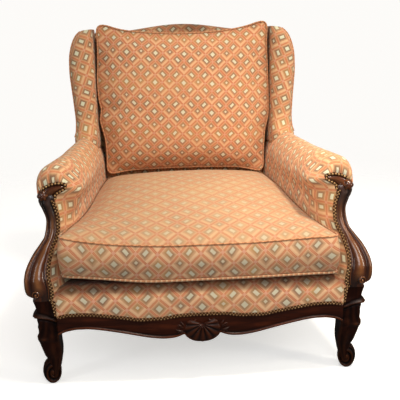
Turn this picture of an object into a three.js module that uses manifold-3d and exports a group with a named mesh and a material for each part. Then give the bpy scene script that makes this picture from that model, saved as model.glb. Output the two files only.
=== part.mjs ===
// Bergere chair with wings: show-wood front, sprung seat, loose seat and back cushions.
// Units mm, +Z up, the sitter faces -Y, +X is the viewer's right from the front.
// The origin is the bottom centre of the whole chair.
import * as THREE from 'three';
import { mergeVertices } from 'three/addons/utils/BufferGeometryUtils.js';
import Module from 'manifold-3d';

const wasm = await Module();
wasm.setup();

// ---------------------------------------------------------------- driving dimensions
const GAP = 0.4;              // clearance between touching pieces
const RAIL_TOP = 236;         // top of the seat rails
const RAIL_BOTTOM = 166;      // structural underside of the seat rails
const DECK_TOP = 287;         // top of the sprung deck under the cushion
const STUMP_JOINT = 255;      // where the arm stump stands on the front leg
const ARM_TOP = 588;          // top of the padded arm
const WING_TOP = 936;         // top of the wings
const CREST_TOP = 960;        // top of the arched crest
const BACK_Y = 400;           // rearmost plane
const FRONT_Y = -400;         // foremost plane
const LEG_INNER = 372;        // inner side of the front legs
const WING_INNER = 304;       // inner side of the wings
const WING_OUTER = 377;       // outer side of the wings
const SPRING_D = 84;          // waist-to-rim diameter of a seat spring
const SPRING_WIRE = 4;

// arm stump seen from the front: height, outer edge, inner edge, front plane, depth
const STUMP = [
  [255.2, 431, 388, -391, 46], [263, 437, 386, -393, 50], [276, 444, 386, -395, 52],
  [292, 447.5, 389, -396, 52], [308, 448, 394, -395, 52], [325, 446, 397, -389, 52],
  [343, 440, 394, -380, 50], [367, 427, 386, -366, 46], [388, 411, 377, -352, 42],
  [408, 398, 368, -340, 39], [430, 393.5, 363, -330, 38], [455, 391, 363, -325, 37],
  [478, 393, 367, -324, 37], [492, 399, 371, -325, 38], [503, 403.5, 374, -325, 38],
  [513, 402, 377, -323, 36], [519, 396, 381, -319, 30],
];
// front leg seen from the front: height, outer edge, inner edge, front plane, depth
const LEG = [
  [254.8, 430, 372, -390, 62], [228, 424, 372, -389, 62], [219, 427, 372, -391, 64],
  [213, 430, 372, -393, 66], [205, 425, 372, -389, 62], [186, 423.5, 372, -386, 60],
  [165, 424, 372, -383, 58], [146, 428, 373, -382, 57], [130, 425.5, 373.5, -377, 53],
  [104, 421, 372, -370, 46], [87, 417.5, 373, -365, 41], [71, 411.5, 376, -360, 36],
  [56, 410, 379, -358, 33], [38, 409, 384, -357, 30], [24, 407, 388, -356, 27],
];
// lower edge of the front rail: half-width, height
const RAIL_EDGE = [
  [371.6, 161], [356, 168.5], [340, 172.5], [322, 174.8], [300, 174.8], [278, 172.6], [257, 169],
  [230, 163.5], [203, 157.5], [174, 150.5], [144, 143.5], [120, 139.4], [97, 137.3], [80, 137.9],
  [66, 140.3], [54, 144.5], [47, 147], [43, 141], [36, 134.5], [26, 128.6], [14, 125], [0, 123.8],
];
// nail line along the front rail: half-width, height
const NAIL_EDGE = [[371.6, 206], [341, 212], [309, 212], [245, 204.5], [191, 195.5], [160, 190], [108, 190.5], [55, 197], [0, 198]];

// ---------------------------------------------------------------- materials
const mat = (color, roughness, metalness = 0) => new THREE.MeshStandardMaterial({ color, roughness, metalness });
const WOOD = 0x2e130a, BEECH = 0xb98a58, FABRIC = 0xd79a6a, DECK = 0xa9814f, JUTE = 0x9c7b4d;
const HESSIAN = 0xa98a5c, STEEL = 0x84807a, BRASS = 0x6d4a22, BLACKCLOTH = 0x2a2724;

const group = new THREE.Group();
function add(name, geometry, color, roughness = 0.9, metalness = 0) {
  const m = new THREE.Mesh(geometry, mat(color, roughness, metalness));
  m.name = name;
  group.add(m);
  return m;
}

// ---------------------------------------------------------------- geometry helpers
const V = (x, y, z) => new THREE.Vector3(x, y, z);
const lerp = (a, b, t) => a + (b - a) * t;
function table(rows, k, x) {           // piecewise linear look-up, rows sorted either way
  const r = rows[0][0] <= rows[rows.length - 1][0] ? rows : [...rows].reverse();
  if (x <= r[0][0]) return r[0][k];
  for (let i = 1; i < r.length; i++) {
    if (x <= r[i][0]) return lerp(r[i - 1][k], r[i][k], (x - r[i - 1][0]) / (r[i][0] - r[i - 1][0]));
  }
  return r[r.length - 1][k];
}
function fromTriangles(points, tris) {
  let vol = 0;
  for (const [a, b, c] of tris) {
    const p = points[a], q = points[b], r = points[c];
    vol += p.x * (q.y * r.z - q.z * r.y) - p.y * (q.x * r.z - q.z * r.x) + p.z * (q.x * r.y - q.y * r.x);
  }
  const g = new THREE.BufferGeometry();
  const pos = new Float32Array(points.length * 3);
  points.forEach((p, i) => { pos[3 * i] = p.x; pos[3 * i + 1] = p.y; pos[3 * i + 2] = p.z; });
  g.setAttribute('position', new THREE.BufferAttribute(pos, 3));
  const idx = [];
  for (const [a, b, c] of tris) idx.push(...(vol < 0 ? [a, c, b] : [a, b, c]));
  g.setIndex(idx);
  return g;
}
function capTriangles(ring) {          // triangulates a ring in its own plane
  const n = V(0, 0, 0);
  for (let i = 0; i < ring.length; i++) {
    const a = ring[i], b = ring[(i + 1) % ring.length];
    n.x += (a.y - b.y) * (a.z + b.z); n.y += (a.z - b.z) * (a.x + b.x); n.z += (a.x - b.x) * (a.y + b.y);
  }
  n.normalize();
  const u = Math.abs(n.z) < 0.9 ? V(0, 0, 1).cross(n).normalize() : V(1, 0, 0).cross(n).normalize();
  const w = n.clone().cross(u);
  const flat = ring.map((p) => new THREE.Vector2(p.dot(u), p.dot(w)));
  return THREE.ShapeUtils.triangulateShape(flat, []);
}
function loft(rings) {                 // closed skin through equal rings, with both ends capped
  const n = rings[0].length, pts = rings.flat(), tris = [];
  for (let i = 0; i + 1 < rings.length; i++) {
    for (let j = 0; j < n; j++) {
      const a = i * n + j, b = i * n + (j + 1) % n;
      tris.push([a, b, b + n], [a, b + n, a + n]);
    }
  }
  // the caps turn the opposite way round to the walls that they close
  for (const t of capTriangles(rings[0])) tris.push([t[0], t[2], t[1]]);
  const o = (rings.length - 1) * n;
  for (const t of capTriangles(rings[rings.length - 1])) tris.push([o + t[0], o + t[1], o + t[2]]);
  return fix(pts, tris);
}
function fix(pts, tris) {              // makes every triangle agree with its neighbours
  const edges = new Map();
  tris.forEach((t, i) => {
    for (let k = 0; k < 3; k++) {
      const a = t[k], b = t[(k + 1) % 3], key = a < b ? `${a},${b}` : `${b},${a}`;
      if (!edges.has(key)) edges.set(key, []);
      edges.get(key).push([i, a < b]);
    }
  });
  const done = new Array(tris.length).fill(false), stack = [0];
  done[0] = true;
  while (stack.length) {
    const i = stack.pop(), t = tris[i];
    for (let k = 0; k < 3; k++) {
      const a = t[k], b = t[(k + 1) % 3], key = a < b ? `${a},${b}` : `${b},${a}`;
      for (const [j] of edges.get(key)) {
        if (j === i || done[j]) continue;
        const s = tris[j];
        let same = false;
        for (let m = 0; m < 3; m++) if (s[m] === a && s[(m + 1) % 3] === b) same = true;
        if (same) tris[j] = [s[0], s[2], s[1]];
        done[j] = true;
        stack.push(j);
      }
    }
  }
  return fromTriangles(pts, tris);
}
function slab(nu, nv, f) {             // two faces A(u,v) and B(u,v) joined round the rim
  const pts = [], tris = [];
  const id = (side, i, j) => side * (nu + 1) * (nv + 1) + i * (nv + 1) + j;
  const A = [], B = [];
  for (let i = 0; i <= nu; i++) for (let j = 0; j <= nv; j++) {
    const [a, b] = f(i / nu, j / nv);
    A.push(a); B.push(b);
  }
  pts.push(...A, ...B);
  for (let i = 0; i < nu; i++) for (let j = 0; j < nv; j++) {
    tris.push([id(0, i, j), id(0, i + 1, j), id(0, i + 1, j + 1)], [id(0, i, j), id(0, i + 1, j + 1), id(0, i, j + 1)]);
    tris.push([id(1, i, j), id(1, i + 1, j + 1), id(1, i + 1, j)], [id(1, i, j), id(1, i, j + 1), id(1, i + 1, j + 1)]);
  }
  const rim = [];
  for (let i = 0; i < nu; i++) rim.push([i, 0]);
  for (let j = 0; j < nv; j++) rim.push([nu, j]);
  for (let i = nu; i > 0; i--) rim.push([i, nv]);
  for (let j = nv; j > 0; j--) rim.push([0, j]);
  for (let k = 0; k < rim.length; k++) {
    const [i, j] = rim[k], [m, n] = rim[(k + 1) % rim.length];
    tris.push([id(0, i, j), id(1, i, j), id(1, m, n)], [id(0, i, j), id(1, m, n), id(0, m, n)]);
  }
  return fix(pts, tris);
}
function block(a, b) {                 // upright box between two corners
  const g = new THREE.BoxGeometry(b[0] - a[0], b[1] - a[1], b[2] - a[2]);
  g.translate((a[0] + b[0]) / 2, (a[1] + b[1]) / 2, (a[2] + b[2]) / 2);
  return clean(g);
}
function clean(g) {
  g.deleteAttribute('normal');
  g.deleteAttribute('uv');
  return mergeVertices(g, 1e-4);
}
function beam(p, q, hw, hh, n = 1, up = V(0, 0, 1)) {  // straight square bar from p to q
  const d = q.clone().sub(p).normalize(), s = d.clone().cross(up).normalize(), t = s.clone().cross(d);
  const rings = [];
  for (let i = 0; i <= n; i++) {
    const c = p.clone().lerp(q, i / n);
    rings.push([[-1, -1], [1, -1], [1, 1], [-1, 1]].map(([a, b]) => c.clone().addScaledVector(s, a * hw).addScaledVector(t, b * hh)));
  }
  return loft(rings);
}
function solid(g) {
  const src = mergeVertices(g, 1e-4);
  return new wasm.Manifold(new wasm.Mesh({
    numProp: 3,
    vertProperties: new Float32Array(src.attributes.position.array),
    triVerts: new Uint32Array(src.index.array),
  }));
}
function geom(m) {
  const r = m.asOriginal().simplify(0.04).getMesh();
  const g = new THREE.BufferGeometry();
  const pos = new Float32Array(r.numVert * 3);
  for (let i = 0; i < r.numVert; i++) for (let k = 0; k < 3; k++) pos[3 * i + k] = r.vertProperties[i * r.numProp + k];
  g.setAttribute('position', new THREE.BufferAttribute(pos, 3));
  g.setIndex(Array.from(r.triVerts));
  return g;
}
const join = (...gs) => geom(gs.map(solid).reduce((a, b) => a.add(b)));
// slivers that a cut leaves loose are dropped, so one body is left
const cut = (g, ...tools) => geom(tools.map(solid).reduce((a, b) => a.subtract(b), solid(g)).decompose().reduce((a, b) => (b.volume() > a.volume() ? b : a)));
function mirrored(g) {
  const r = g.clone();
  r.scale(-1, 1, 1);
  const idx = r.index.array;
  for (let i = 0; i < idx.length; i += 3) { const t = idx[i + 1]; idx[i + 1] = idx[i + 2]; idx[i + 2] = t; }
  return r;
}
function pair(name, g, color, roughness, metalness) {
  add(`${name}_right`, g, color, roughness, metalness);
  add(`${name}_left`, mirrored(g), color, roughness, metalness);
}
function ovalRing(cx, cy, z, hx, hy, n = 12, p = 2.6) {   // rounded-square ring at height z
  const ring = [];
  for (let i = 0; i < n; i++) {
    const a = (2 * Math.PI * (i + 0.5)) / n, c = Math.cos(a), s = Math.sin(a);
    const k = 1 / Math.pow(Math.abs(c) ** p + Math.abs(s) ** p, 1 / p);
    ring.push(V(cx + hx * k * c, cy + hy * k * s, z));
  }
  return ring;
}

// ---------------------------------------------------------------- shared outlines
const stumpFront = (z) => table(STUMP, 3, z);
const stumpInner = (z) => table(STUMP, 2, z);
const stumpOuter = (z) => table(STUMP, 1, z);
// rear post centre line: height, x, y
const POST = [[0, 342, 380], [60, 340, 369], [160, 338, 345], [240, 337, 332], [420, 337, 335], [600, 337, 346], [905, 337, 376.3]];
const postX = (z) => table(POST, 1, z), postY = (z) => table(POST, 2, z);
const POST_HX = 19, POST_HY = 18.5;
// inner side of the arm at seat height
const ARM_CORE = [[-400, 345], [-330, 322], [-280, 304], [-170, 290], [50, 283], [310, 287]];
const armCore = (y) => table(ARM_CORE, 1, y);
const ARM_OUT = [[-318, 404], [-260, 410], [-100, 402], [100, 388], [200, 377], [310, 367]];
const armOut = (y) => table(ARM_OUT, 1, y);
// front face of the inside back
const backFace = (z) => lerp(289, 336, Math.max(0, z - 420) / 530);
const crest = (x) => CREST_TOP - 24 * (1 - Math.cos(Math.min(1, Math.abs(x) / 262) * Math.PI)) / 2;

// ---------------------------------------------------------------- front legs
function frontLeg() {
  const rings = LEG.map(([z, xo, xi, yf, d]) => ovalRing((xo + xi) / 2, yf + d / 2, z, (xo - xi) / 2, d / 2, 12, z > 140 ? 6 : 3.2));
  const leg = loft(rings);
  // outward scroll foot, a snail disc turned a little to the front, flat where it stands
  const s = new THREE.Shape();
  const N = 20, cz = 33, a = 23, b = 35;
  for (let i = 0; i < N; i++) {
    const t = (2 * Math.PI * i) / N;
    const x = a * Math.cos(t), z = Math.max(0, cz + b * Math.sin(t));
    if (i === 0) s.moveTo(x, z); else s.lineTo(x, z);
  }
  const foot = new THREE.ExtrudeGeometry(s, { depth: 33, bevelEnabled: false, steps: 1 });
  foot.translate(0, 0, -16.5);
  foot.rotateX(Math.PI / 2);
  foot.rotateZ(-Math.PI * 18 / 180);
  foot.translate(405.5, -341, 0);
  return join(leg, clean(foot));
}
pair('front_leg', frontLeg(), WOOD, 0.3);

// ---------------------------------------------------------------- arm stumps with hook and knob
function stump() {
  const body = loft(STUMP.map(([z, xo, xi, yf, d]) => ovalRing((xo + xi) / 2, yf + d / 2, z, (xo - xi) / 2, d / 2, 12, 3)));
  // the hook that runs inwards over the arm front
  const path = [[396, 507, 9, -306], [384, 514, 9.5, -306], [370, 522, 9, -304], [354, 530, 8, -301], [341, 536.5, 6.6, -298], [331.5, 539.5, 4, -297]];
  const rings = path.map(([x, z, r, y], i) => {
    const p = path[Math.max(0, i - 1)], q = path[Math.min(path.length - 1, i + 1)];
    const d = V(q[0] - p[0], 0, q[1] - p[1]).normalize(), n = V(-d.z, 0, d.x);
    const ring = [];
    for (let k = 0; k < 8; k++) {
      const a = (2 * Math.PI * (k + 0.5)) / 8;
      ring.push(V(x, y, z).addScaledVector(n, r * Math.sin(a)).add(V(0, 15 * Math.cos(a), 0)));
    }
    return ring;
  });
  return join(body, loft(rings));
}
const stumpGeom = stump();
pair('arm_stump', stumpGeom, WOOD, 0.3);

// ---------------------------------------------------------------- seat rails
function frontRail() {
  const s = new THREE.Shape();
  const edge = [...RAIL_EDGE.slice(0, -1).map(([x, z]) => [-x, z]), ...[...RAIL_EDGE].reverse()];
  edge.forEach(([x, z], i) => (i ? s.lineTo(x, z) : s.moveTo(x, z)));
  const top = [...NAIL_EDGE, ...NAIL_EDGE.slice(0, -1).reverse().map(([x, z]) => [-x, z])];
  top.forEach(([x, z]) => s.lineTo(x, z));
  const face = new THREE.ExtrudeGeometry(s, { depth: 22, bevelEnabled: false, steps: 1 });
  face.rotateX(Math.PI / 2);            // the outline stands upright, depth runs to -Y
  face.translate(0, -374, 0);
  const beamBack = block([-371.6, -386, RAIL_BOTTOM], [371.6, -350, RAIL_TOP]);
  // low dome of the carved shell at the middle
  const rings = [];
  const R = 44;
  for (const [k, y] of [[1, -394], [0.93, -397.5], [0.7, -400]]) {
    const ring = [];
    for (let i = 0; i < 14; i++) {
      const a = (2 * Math.PI * i) / 14;
      ring.push(V(k * R * Math.cos(a), y, 161 + k * 34 * Math.sin(a)));
    }
    rings.push(ring);
  }
  return join(clean(face), beamBack, loft(rings));
}
add('front_rail', frontRail(), WOOD, 0.3);

const railX = (y) => lerp(401, 337, (y + 328) / 640);   // centre line of the side rails
function sideRail() {
  const ya = -324.5, yb = 313.0, rings = [];
  const bottom = (t) => 166 - 9 * Math.exp(-(((t - 0.5) / 0.22) ** 2)) + 0 * t;
  for (let i = 0; i <= 12; i++) {
    const t = i / 12, y = lerp(ya, yb, t), x = railX(y), zb = bottom(t);
    rings.push([V(x - 17, y, RAIL_BOTTOM), V(x + 4, y, RAIL_BOTTOM), V(x + 4, y, zb), V(x + 19, y, zb), V(x + 19, y, 198), V(x + 15, y, 200), V(x + 15, y, RAIL_TOP), V(x - 17, y, RAIL_TOP)]);
  }
  return loft(rings);
}
pair('side_rail', sideRail(), WOOD, 0.35);
add('back_seat_rail', block([-317.5, 316, RAIL_BOTTOM], [317.5, 348, RAIL_TOP]), BEECH, 0.7);

// ---------------------------------------------------------------- rear posts, one piece from floor to crest
function rearPost() {
  const zs = [0, 60, 120, 160, 200, 240, 420, 600, 760, 905];
  return loft(zs.map((z) => {
    const k = z < 160 ? lerp(0.84, 1, z / 160) : 1;
    const hx = POST_HX * k, hy = POST_HY * k, x = postX(z), y = postY(z);
    return [V(x - hx, y - hy, z), V(x + hx, y - hy, z), V(x + hx, y + hy, z), V(x - hx, y + hy, z)];
  }));
}
pair('rear_post', rearPost(), WOOD, 0.4);

// ---------------------------------------------------------------- corner blocks
function cornerBlock(points) {
  const s = new THREE.Shape();
  points.forEach(([x, y], i) => (i ? s.lineTo(x, y) : s.moveTo(x, y)));
  const g = new THREE.ExtrudeGeometry(s, { depth: 52, bevelEnabled: false, steps: 1 });
  g.translate(0, 0, 174);
  return clean(g);
}
pair('corner_block_front', cornerBlock([[371.2, -324.2], [371.2, -349.5], [325, -349.5], [379.6, -293], [380, -324.2]]), BEECH, 0.7);
pair('corner_block_rear', cornerBlock([[316.8, 312], [316.8, 315.4], [270, 315.4], [324, 262], [319.4, 312]]), BEECH, 0.7);

// ---------------------------------------------------------------- arm rails and tack rails
const armRailA = V(370, -286.5, 524), armRailB = V(334, 325, 531);
function armRail(grow = 0) {
  const p = armRailA.clone(), q = armRailB.clone();
  const rings = [];
  for (let i = 0; i <= 3; i++) {
    const c = p.clone().lerp(q, i / 3), hw = 12.5 + grow, hh = 15 + grow;
    if (i === 3) c.y = postY(c.z) - POST_HY - 2;
    rings.push([V(c.x - hw, c.y, c.z - hh), V(c.x + hw, c.y, c.z - hh), V(c.x + hw, c.y, c.z + hh), V(c.x - hw, c.y, c.z + hh)]);
  }
  return loft(rings);
}
pair('arm_rail', armRail(), BEECH, 0.7);
function armTackRail() {
  const rings = [];
  for (const y of [-322, -120, 100, 311.4]) {
    const x = railX(y) - 2, z = 292;
    rings.push([V(x - 13, y, z - 13), V(x + 13, y, z - 13), V(x + 13, y, z + 13), V(x - 13, y, z + 13)]);
  }
  return loft(rings);
}
pair('arm_tack_rail', armTackRail(), BEECH, 0.7);

// ---------------------------------------------------------------- back frame
function crestRail(grow = 0) {
  return slab(14, 1, (u, v) => {
    const x = lerp(-317.4 - grow, 317.4 + grow, u), top = crest(x) - 14 + grow, bot = top - 44 - 2 * grow;
    const z = v ? top : bot, y = postY(Math.min(z, 905));
    return [V(x, y - 13 - grow, z), V(x, y + 13 + grow, z)];
  });
}
add('crest_rail', crestRail(), BEECH, 0.7);
add('back_tack_rail', block([-317.4, 320.8, 322], [317.4, 346, 356]), BEECH, 0.7);

// wing frame: an upright near the wing's front edge and a top piece back to the post
function wingPost(grow = 0) {
  return loft([551, 700, 896].map((z) => {
    const y = lerp(262, 281, (z - 551) / 345);
    return [V(332 - grow, y - 14 - grow, z), V(350 + grow, y - 14 - grow, z), V(350 + grow, y + 14 + grow, z), V(332 - grow, y + 14 + grow, z)];
  }));
}
function wingTopRail(grow = 0) {
  const y0 = 268 - grow, y1 = 390 + grow;
  return loft([0, 1].map((t) => {
    const y = lerp(y0, y1, t), x0 = 332 - grow, x1 = 350 + grow;
    return [V(x0, y, 905.4 - grow), V(x1, y, 905.4 - grow), V(x1, y, 921 + grow), V(x0, y, 921 + grow)];
  }));
}
pair('wing_post', wingPost(), BEECH, 0.7);
// the top piece lies on the wing post and on the rear post
pair('wing_top_rail', wingTopRail(), BEECH, 0.7);

// ---------------------------------------------------------------- seat webbing, springs, hessian
function seatWebbing() {
  const parts = [];
  const z0 = 163.0, z1 = 165.6;
  for (const x of [-200, -67, 67, 200]) parts.push(block([x - 25, -362, z0], [x + 25, 334, z1]));
  for (const y of [-240, -80, 80, 240]) {
    const w = railX(y) - 4;
    parts.push(block([-w, y - 25, z0 + 0.2], [w, y + 25, z1 - 0.2]));
  }
  return join(...parts);
}
add('seat_webbing', seatWebbing(), JUTE, 0.95);

function spring(cx, cy) {
  const turns = 3.5, z0 = 169.2, z1 = 256, steps = 32;
  const pts = [];
  for (let i = 0; i <= steps; i++) {
    const t = i / steps, a = 2 * Math.PI * turns * t;
    const r = (SPRING_D / 2 - SPRING_WIRE) * (0.68 + 0.32 * Math.abs(2 * t - 1) ** 1.4);
    pts.push(V(cx + r * Math.cos(a), cy + r * Math.sin(a), lerp(z0, z1, t)));
  }
  const w = SPRING_WIRE / 2;
  return loft(pts.map((p, i) => {
    const t = i / steps, a = 2 * Math.PI * turns * t;
    const n = V(Math.cos(a), Math.sin(a), 0);
    return [p.clone().addScaledVector(n, w), p.clone().add(V(0, 0, w)), p.clone().addScaledVector(n, -w), p.clone().add(V(0, 0, -w))];
  }));
}
let springNo = 0;
for (const y of [-215, -15, 185]) for (const x of [-200, 0, 200]) {
  springNo += 1;
  add(`seat_spring_${springNo}`, spring(x, y), STEEL, 0.4, 0.8);
}

const dome = (u, v, edge) => {          // 0 at the rim, 1 over the springs
  const a = Math.min(1, Math.min(u, 1 - u) / edge), b = Math.min(1, Math.min(v, 1 - v) / edge);
  return Math.sin(Math.min(a, b) * Math.PI / 2);
};
const legCorner = block([371.6, -400, 100], [440, -324.2, 300]), postCorner = block([317.6, 313, 100], [380, 400, 300]);
const corners = [legCorner, mirrored(legCorner), postCorner, mirrored(postCorner)];
add('spring_hessian', cut(slab(8, 8, (u, v) => {
  const y = lerp(-362, 338, v), w = railX(y) + 6;
  const x = lerp(-w, w, u), h = 236.5 + 23.5 * dome(u, v, 0.16);
  return [V(x, y, h + 2), V(x, y, h)];
}), ...corners), HESSIAN, 0.95);

// ---------------------------------------------------------------- deck pad and front border
const deckHalf = (y) => Math.min(armCore(y) + 22, y < -322 ? 367 : 999);
add('seat_deck', slab(8, 8, (u, v) => {
  const y = lerp(-312.4, 285.5, v), w = y > 240 ? 283 : Math.min(280, armCore(y) - 4);
  const x = lerp(-w, w, u);
  const hw = railX(y) + 6, uu = (x + hw) / (2 * hw), vv = (y + 362) / 700;
  const low = Math.min(266, 242 + 23.5 * dome(uu, vv, 0.1));
  return [V(x, y, DECK_TOP - 3 + 2 * Math.min(1, 6 * Math.min(u, 1 - u, v, 1 - v))), V(x, y, low)];
}), DECK, 0.9);

add('front_border', slab(16, 8, (u, v) => {
  const x = lerp(-371.2, 371.2, u), zn = table(NAIL_EDGE, 1, Math.abs(x)) + 3;
  const lift = 2 * Math.sqrt(Math.max(0, 1 - (x / 372) ** 2));
  const outer = [[-394.6, zn], [-396, lerp(zn, 236, 0.45)], [-397.6, 236], [-398.5, 252], [-394, 268], [-383, 279], [-366, 284 + lift], [-344, 285 + lift], [-314, 284]];
  const inner = [[-386.4, zn], [-386.4, lerp(zn, 236, 0.5)], [-386.4, 233], [-386.4, 236.5], [-382, 239.4], [-375, 239.6], [-362, 240.5], [-345, 247], [-314, 264.5]];
  const k = Math.round(v * 8);
  return [V(x, outer[k][0], outer[k][1]), V(x, inner[k][0], inner[k][1])];
}), FABRIC, 0.9);

// ---------------------------------------------------------------- inside arms, an upside-down J over the arm rail
const ARM_T = 24;
function armSection(u, y, zNail, off) {  // off 0 outer skin, off T inner skin
  const yc = y;
  const xi = armInner(y, u) + off, xo = armOut(yc) - off;
  const cx = (xi + xo) / 2, rx = (xo - xi) / 2, zc = 530, rz = ARM_TOP - 530 - off;
  if (u < 0.45) {
    const z = lerp(262, zc, u / 0.45);
    return [armInnerAt(y, z) + off, z];
  }
  if (u < 0.9) {
    const a = Math.PI * (1 - (u - 0.45) / 0.45);
    return [cx + rx * Math.cos(a), zc + rz * Math.sin(a)];
  }
  return [xo, lerp(zc, 506, (u - 0.9) / 0.1)];
}
// where the cover is nailed to the stump, and above it to the tip of the hook: height, half-width
const ARM_NAIL = [[255, 386], [276, 382], [292, 385], [308, 390], [325, 393], [343, 390], [367, 382], [388, 373], [408, 364], [430, 359], [455, 358], [478, 360], [492, 358], [503, 350], [515, 339], [530, 331]];
const ease = (t) => { const q = Math.max(0, Math.min(1, t)); return q * q * (3 - 2 * q); };
// the inner face is hollow beside the seat cushion, under the roll
const hollow = (y, z) => 16 * ease((z - 262) / 26) * (1 - ease((z - 455) / 65)) * (1 - ease((y - 150) / 120));
function armInnerAt(y, z) {
  const yn = stumpFront(z) + 12, xn = table(ARM_NAIL, 1, z), k = Math.exp(-Math.max(0, y - yn) / 38);
  return armCore(y) + (xn - armCore(yn)) * k + hollow(y, z) * (1 - k);
}
const armInner = (y) => armInnerAt(y, 530);
function insideArm() {
  return slab(20, 8, (u, v) => {
    const s = v ** 1.5, zz = u < 0.45 ? lerp(262, 530, u / 0.45) : 530;
    const yFront = Math.max(stumpFront(Math.min(zz, 500)) + 12, -380), y = lerp(yFront, 310.8 + 0 * v, s);
    const yr = Math.min(y, postY(zz) - POST_HY - GAP - 0.4);
    const [ax, az] = armSection(u, yr, 0, 0), [bx, bz] = armSection(u, yr, 0, ARM_T);
    return [V(ax, yr, az), V(bx, yr, bz)];
  });
}
function stumpCutter() {
  const rings = STUMP.map(([z, xo, xi, yf, d]) => ovalRing((xo + xi) / 2, yf + d / 2, z, (xo - xi) / 2 + GAP, d / 2 + GAP, 12, 3));
  const body = loft(rings);
  const path = [[396, 507, 9, -306], [384, 514, 9.5, -306], [370, 522, 9, -304], [354, 530, 8, -301], [341, 536.5, 6.6, -298], [330.5, 539.8, 4, -297]];
  const hook = loft(path.map(([x, z, r, y], i) => {
    const p = path[Math.max(0, i - 1)], q = path[Math.min(path.length - 1, i + 1)];
    const d = V(q[0] - p[0], 0, q[1] - p[1]).normalize(), n = V(-d.z, 0, d.x);
    const ring = [];
    for (let k = 0; k < 8; k++) {
      const a = (2 * Math.PI * (k + 0.5)) / 8;
      ring.push(V(x, y, z).addScaledVector(n, (r + GAP + 0.3) * Math.sin(a)).add(V(0, (15 + GAP + 0.3) * Math.cos(a), 0)));
    }
    return ring;
  }));
  return [body, hook];
}
const tackCut = (() => {
  const rings = [];
  for (const y of [-326, -120, 100, 315]) {
    const x = railX(y) - 2, z = 292;
    rings.push([V(x - 13.4, y, z - 13.4), V(x + 13.4, y, z - 13.4), V(x + 13.4, y, z + 13.4), V(x - 13.4, y, z + 13.4)]);
  }
  return loft(rings);
})();
const borderCut = block([290, -400, 250], [371.9, -313.6, 288.6]);
const knobCut = block([371.3, -331, 470], [425, -284.6, 523.7]);   // room round the carved knob
function armFront() {                   // stuffed front of the roll, closing it in front of the arm rail
  return loft([-312.6, -288].map((y) => {
    const xi = armInner(y) + ARM_T - 1.5, xo = armOut(y) - ARM_T + 1.5, cx = (xi + xo) / 2, rx = (xo - xi) / 2, rz = ARM_TOP - 530 - ARM_T + 1.5;
    const ring = [V(xi, y, 507), V(xo, y, 507)];
    for (let i = 0; i <= 6; i++) ring.push(V(cx + rx * Math.cos(Math.PI * i / 6), y, 530 + rz * Math.sin(Math.PI * i / 6)));
    return ring;
  }));
}
const armPad = cut(join(insideArm(), armFront()), join(...stumpCutter(), knobCut), armRail(GAP), tackCut, wingPost(GAP), borderCut);
pair('inside_arm', armPad, FABRIC, 0.9);

// ---------------------------------------------------------------- outside arms, a thin upholstered panel
pair('outside_arm', slab(6, 7, (u, v) => {
  const z = lerp(201.5, 503, v);
  const yf = stumpFront(Math.max(z, 256)) + (z < 256 ? 66 : table(STUMP, 4, z)) + 1.2;
  const y = lerp(Math.max(yf, z < 300 ? -326.4 : yf), 352, u);
  const front = (z < 256 ? 421 : stumpOuter(z) - 7);
  const x = lerp(front, 359.5, Math.min(1, (y + 345) / 680));
  const lean = 0;
  return [V(x + 3 + lean, y, z), V(x, y, z)];
}), FABRIC, 0.9);

// ---------------------------------------------------------------- wings
const WING_FRONT = [[589, 210], [640, 212], [720, 220], [800, 229], [880, 241], [920, 251], [936, 262]];
function wingPad() {
  const rings = [589, 610, 650, 700, 760, 820, 880, 915, 930, 936].map((z) => {
    const yf = table(WING_FRONT, 1, z), k = z > 900 ? Math.sqrt(Math.max(0, 1 - ((z - 900) / 40) ** 2)) : 1;
    const xo = z > 880 ? WING_OUTER - 14 * ((z - 880) / 56) ** 1.5 : WING_OUTER - 3 * Math.min(1, Math.abs(z - 790) / 200);
    const xi = WING_INNER + (z > 915 ? (z - 915) * 0.2 : 0);
    const cx = (xi + xo) / 2, rx = (xo - xi) / 2, ry = 34, yr = postY(Math.min(905, z)) - POST_HY - GAP;
    const ring = [V(xi, yr, z)];
    for (let i = 0; i <= 8; i++) {
      const a = Math.PI * (1 - i / 8);
      ring.push(V(cx + rx * Math.cos(a), yf + (1 - k) * 10 + ry - ry * Math.sin(a), z));
    }
    ring.push(V(xo, yf + (1 - k) * 10 + 46, z));
    ring.push(V(357.5, yf + (1 - k) * 10 + 52, z));
    ring.push(V(357.5, yr, z));
    return ring;
  });
  return cut(loft(rings), wingPost(GAP), wingTopRail(GAP), armRail(GAP));
}
pair('wing_pad', wingPad(), FABRIC, 0.9);
pair('outside_wing', slab(6, 6, (u, v) => {
  const z = lerp(505.5, 931, v);
  const y0 = z < 594 ? 313 : table(WING_FRONT, 1, z) + (z > 900 ? 62 : 56), y1 = postY(Math.min(905, z)) + POST_HY - 1;
  const y = lerp(y0, y1, u);
  const x = z < 594 ? 359.5 : lerp(370, 359.5, u);
  return [V(x + 3, y, z), V(x, y, z)];
}), FABRIC, 0.9);

// ---------------------------------------------------------------- back webbing and padded inside back
function backWebbing() {
  const parts = [];
  const y0 = (z) => postY(Math.min(905, z)) - 10.6;
  for (const x of [-205, -70, 70, 205]) {
    parts.push(slab(1, 4, (u, v) => {
      const z = lerp(326, 912, v), xx = lerp(x - 25, x + 25, u);
      return [V(xx, y0(z) - 6.4, z), V(xx, y0(z) - 4.2, z)];
    }));
  }
  for (const z of [440, 560, 690, 810]) {
    parts.push(slab(1, 1, (u, v) => {
      const xx = lerp(-316, 316, u), zz = lerp(z - 24, z + 24, v);
      return [V(xx, y0(zz) - 6.2, zz), V(xx, y0(zz) - 4.4, zz)];
    }));
  }
  return join(...parts);
}
add('back_webbing', backWebbing(), JUTE, 0.95);

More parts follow.
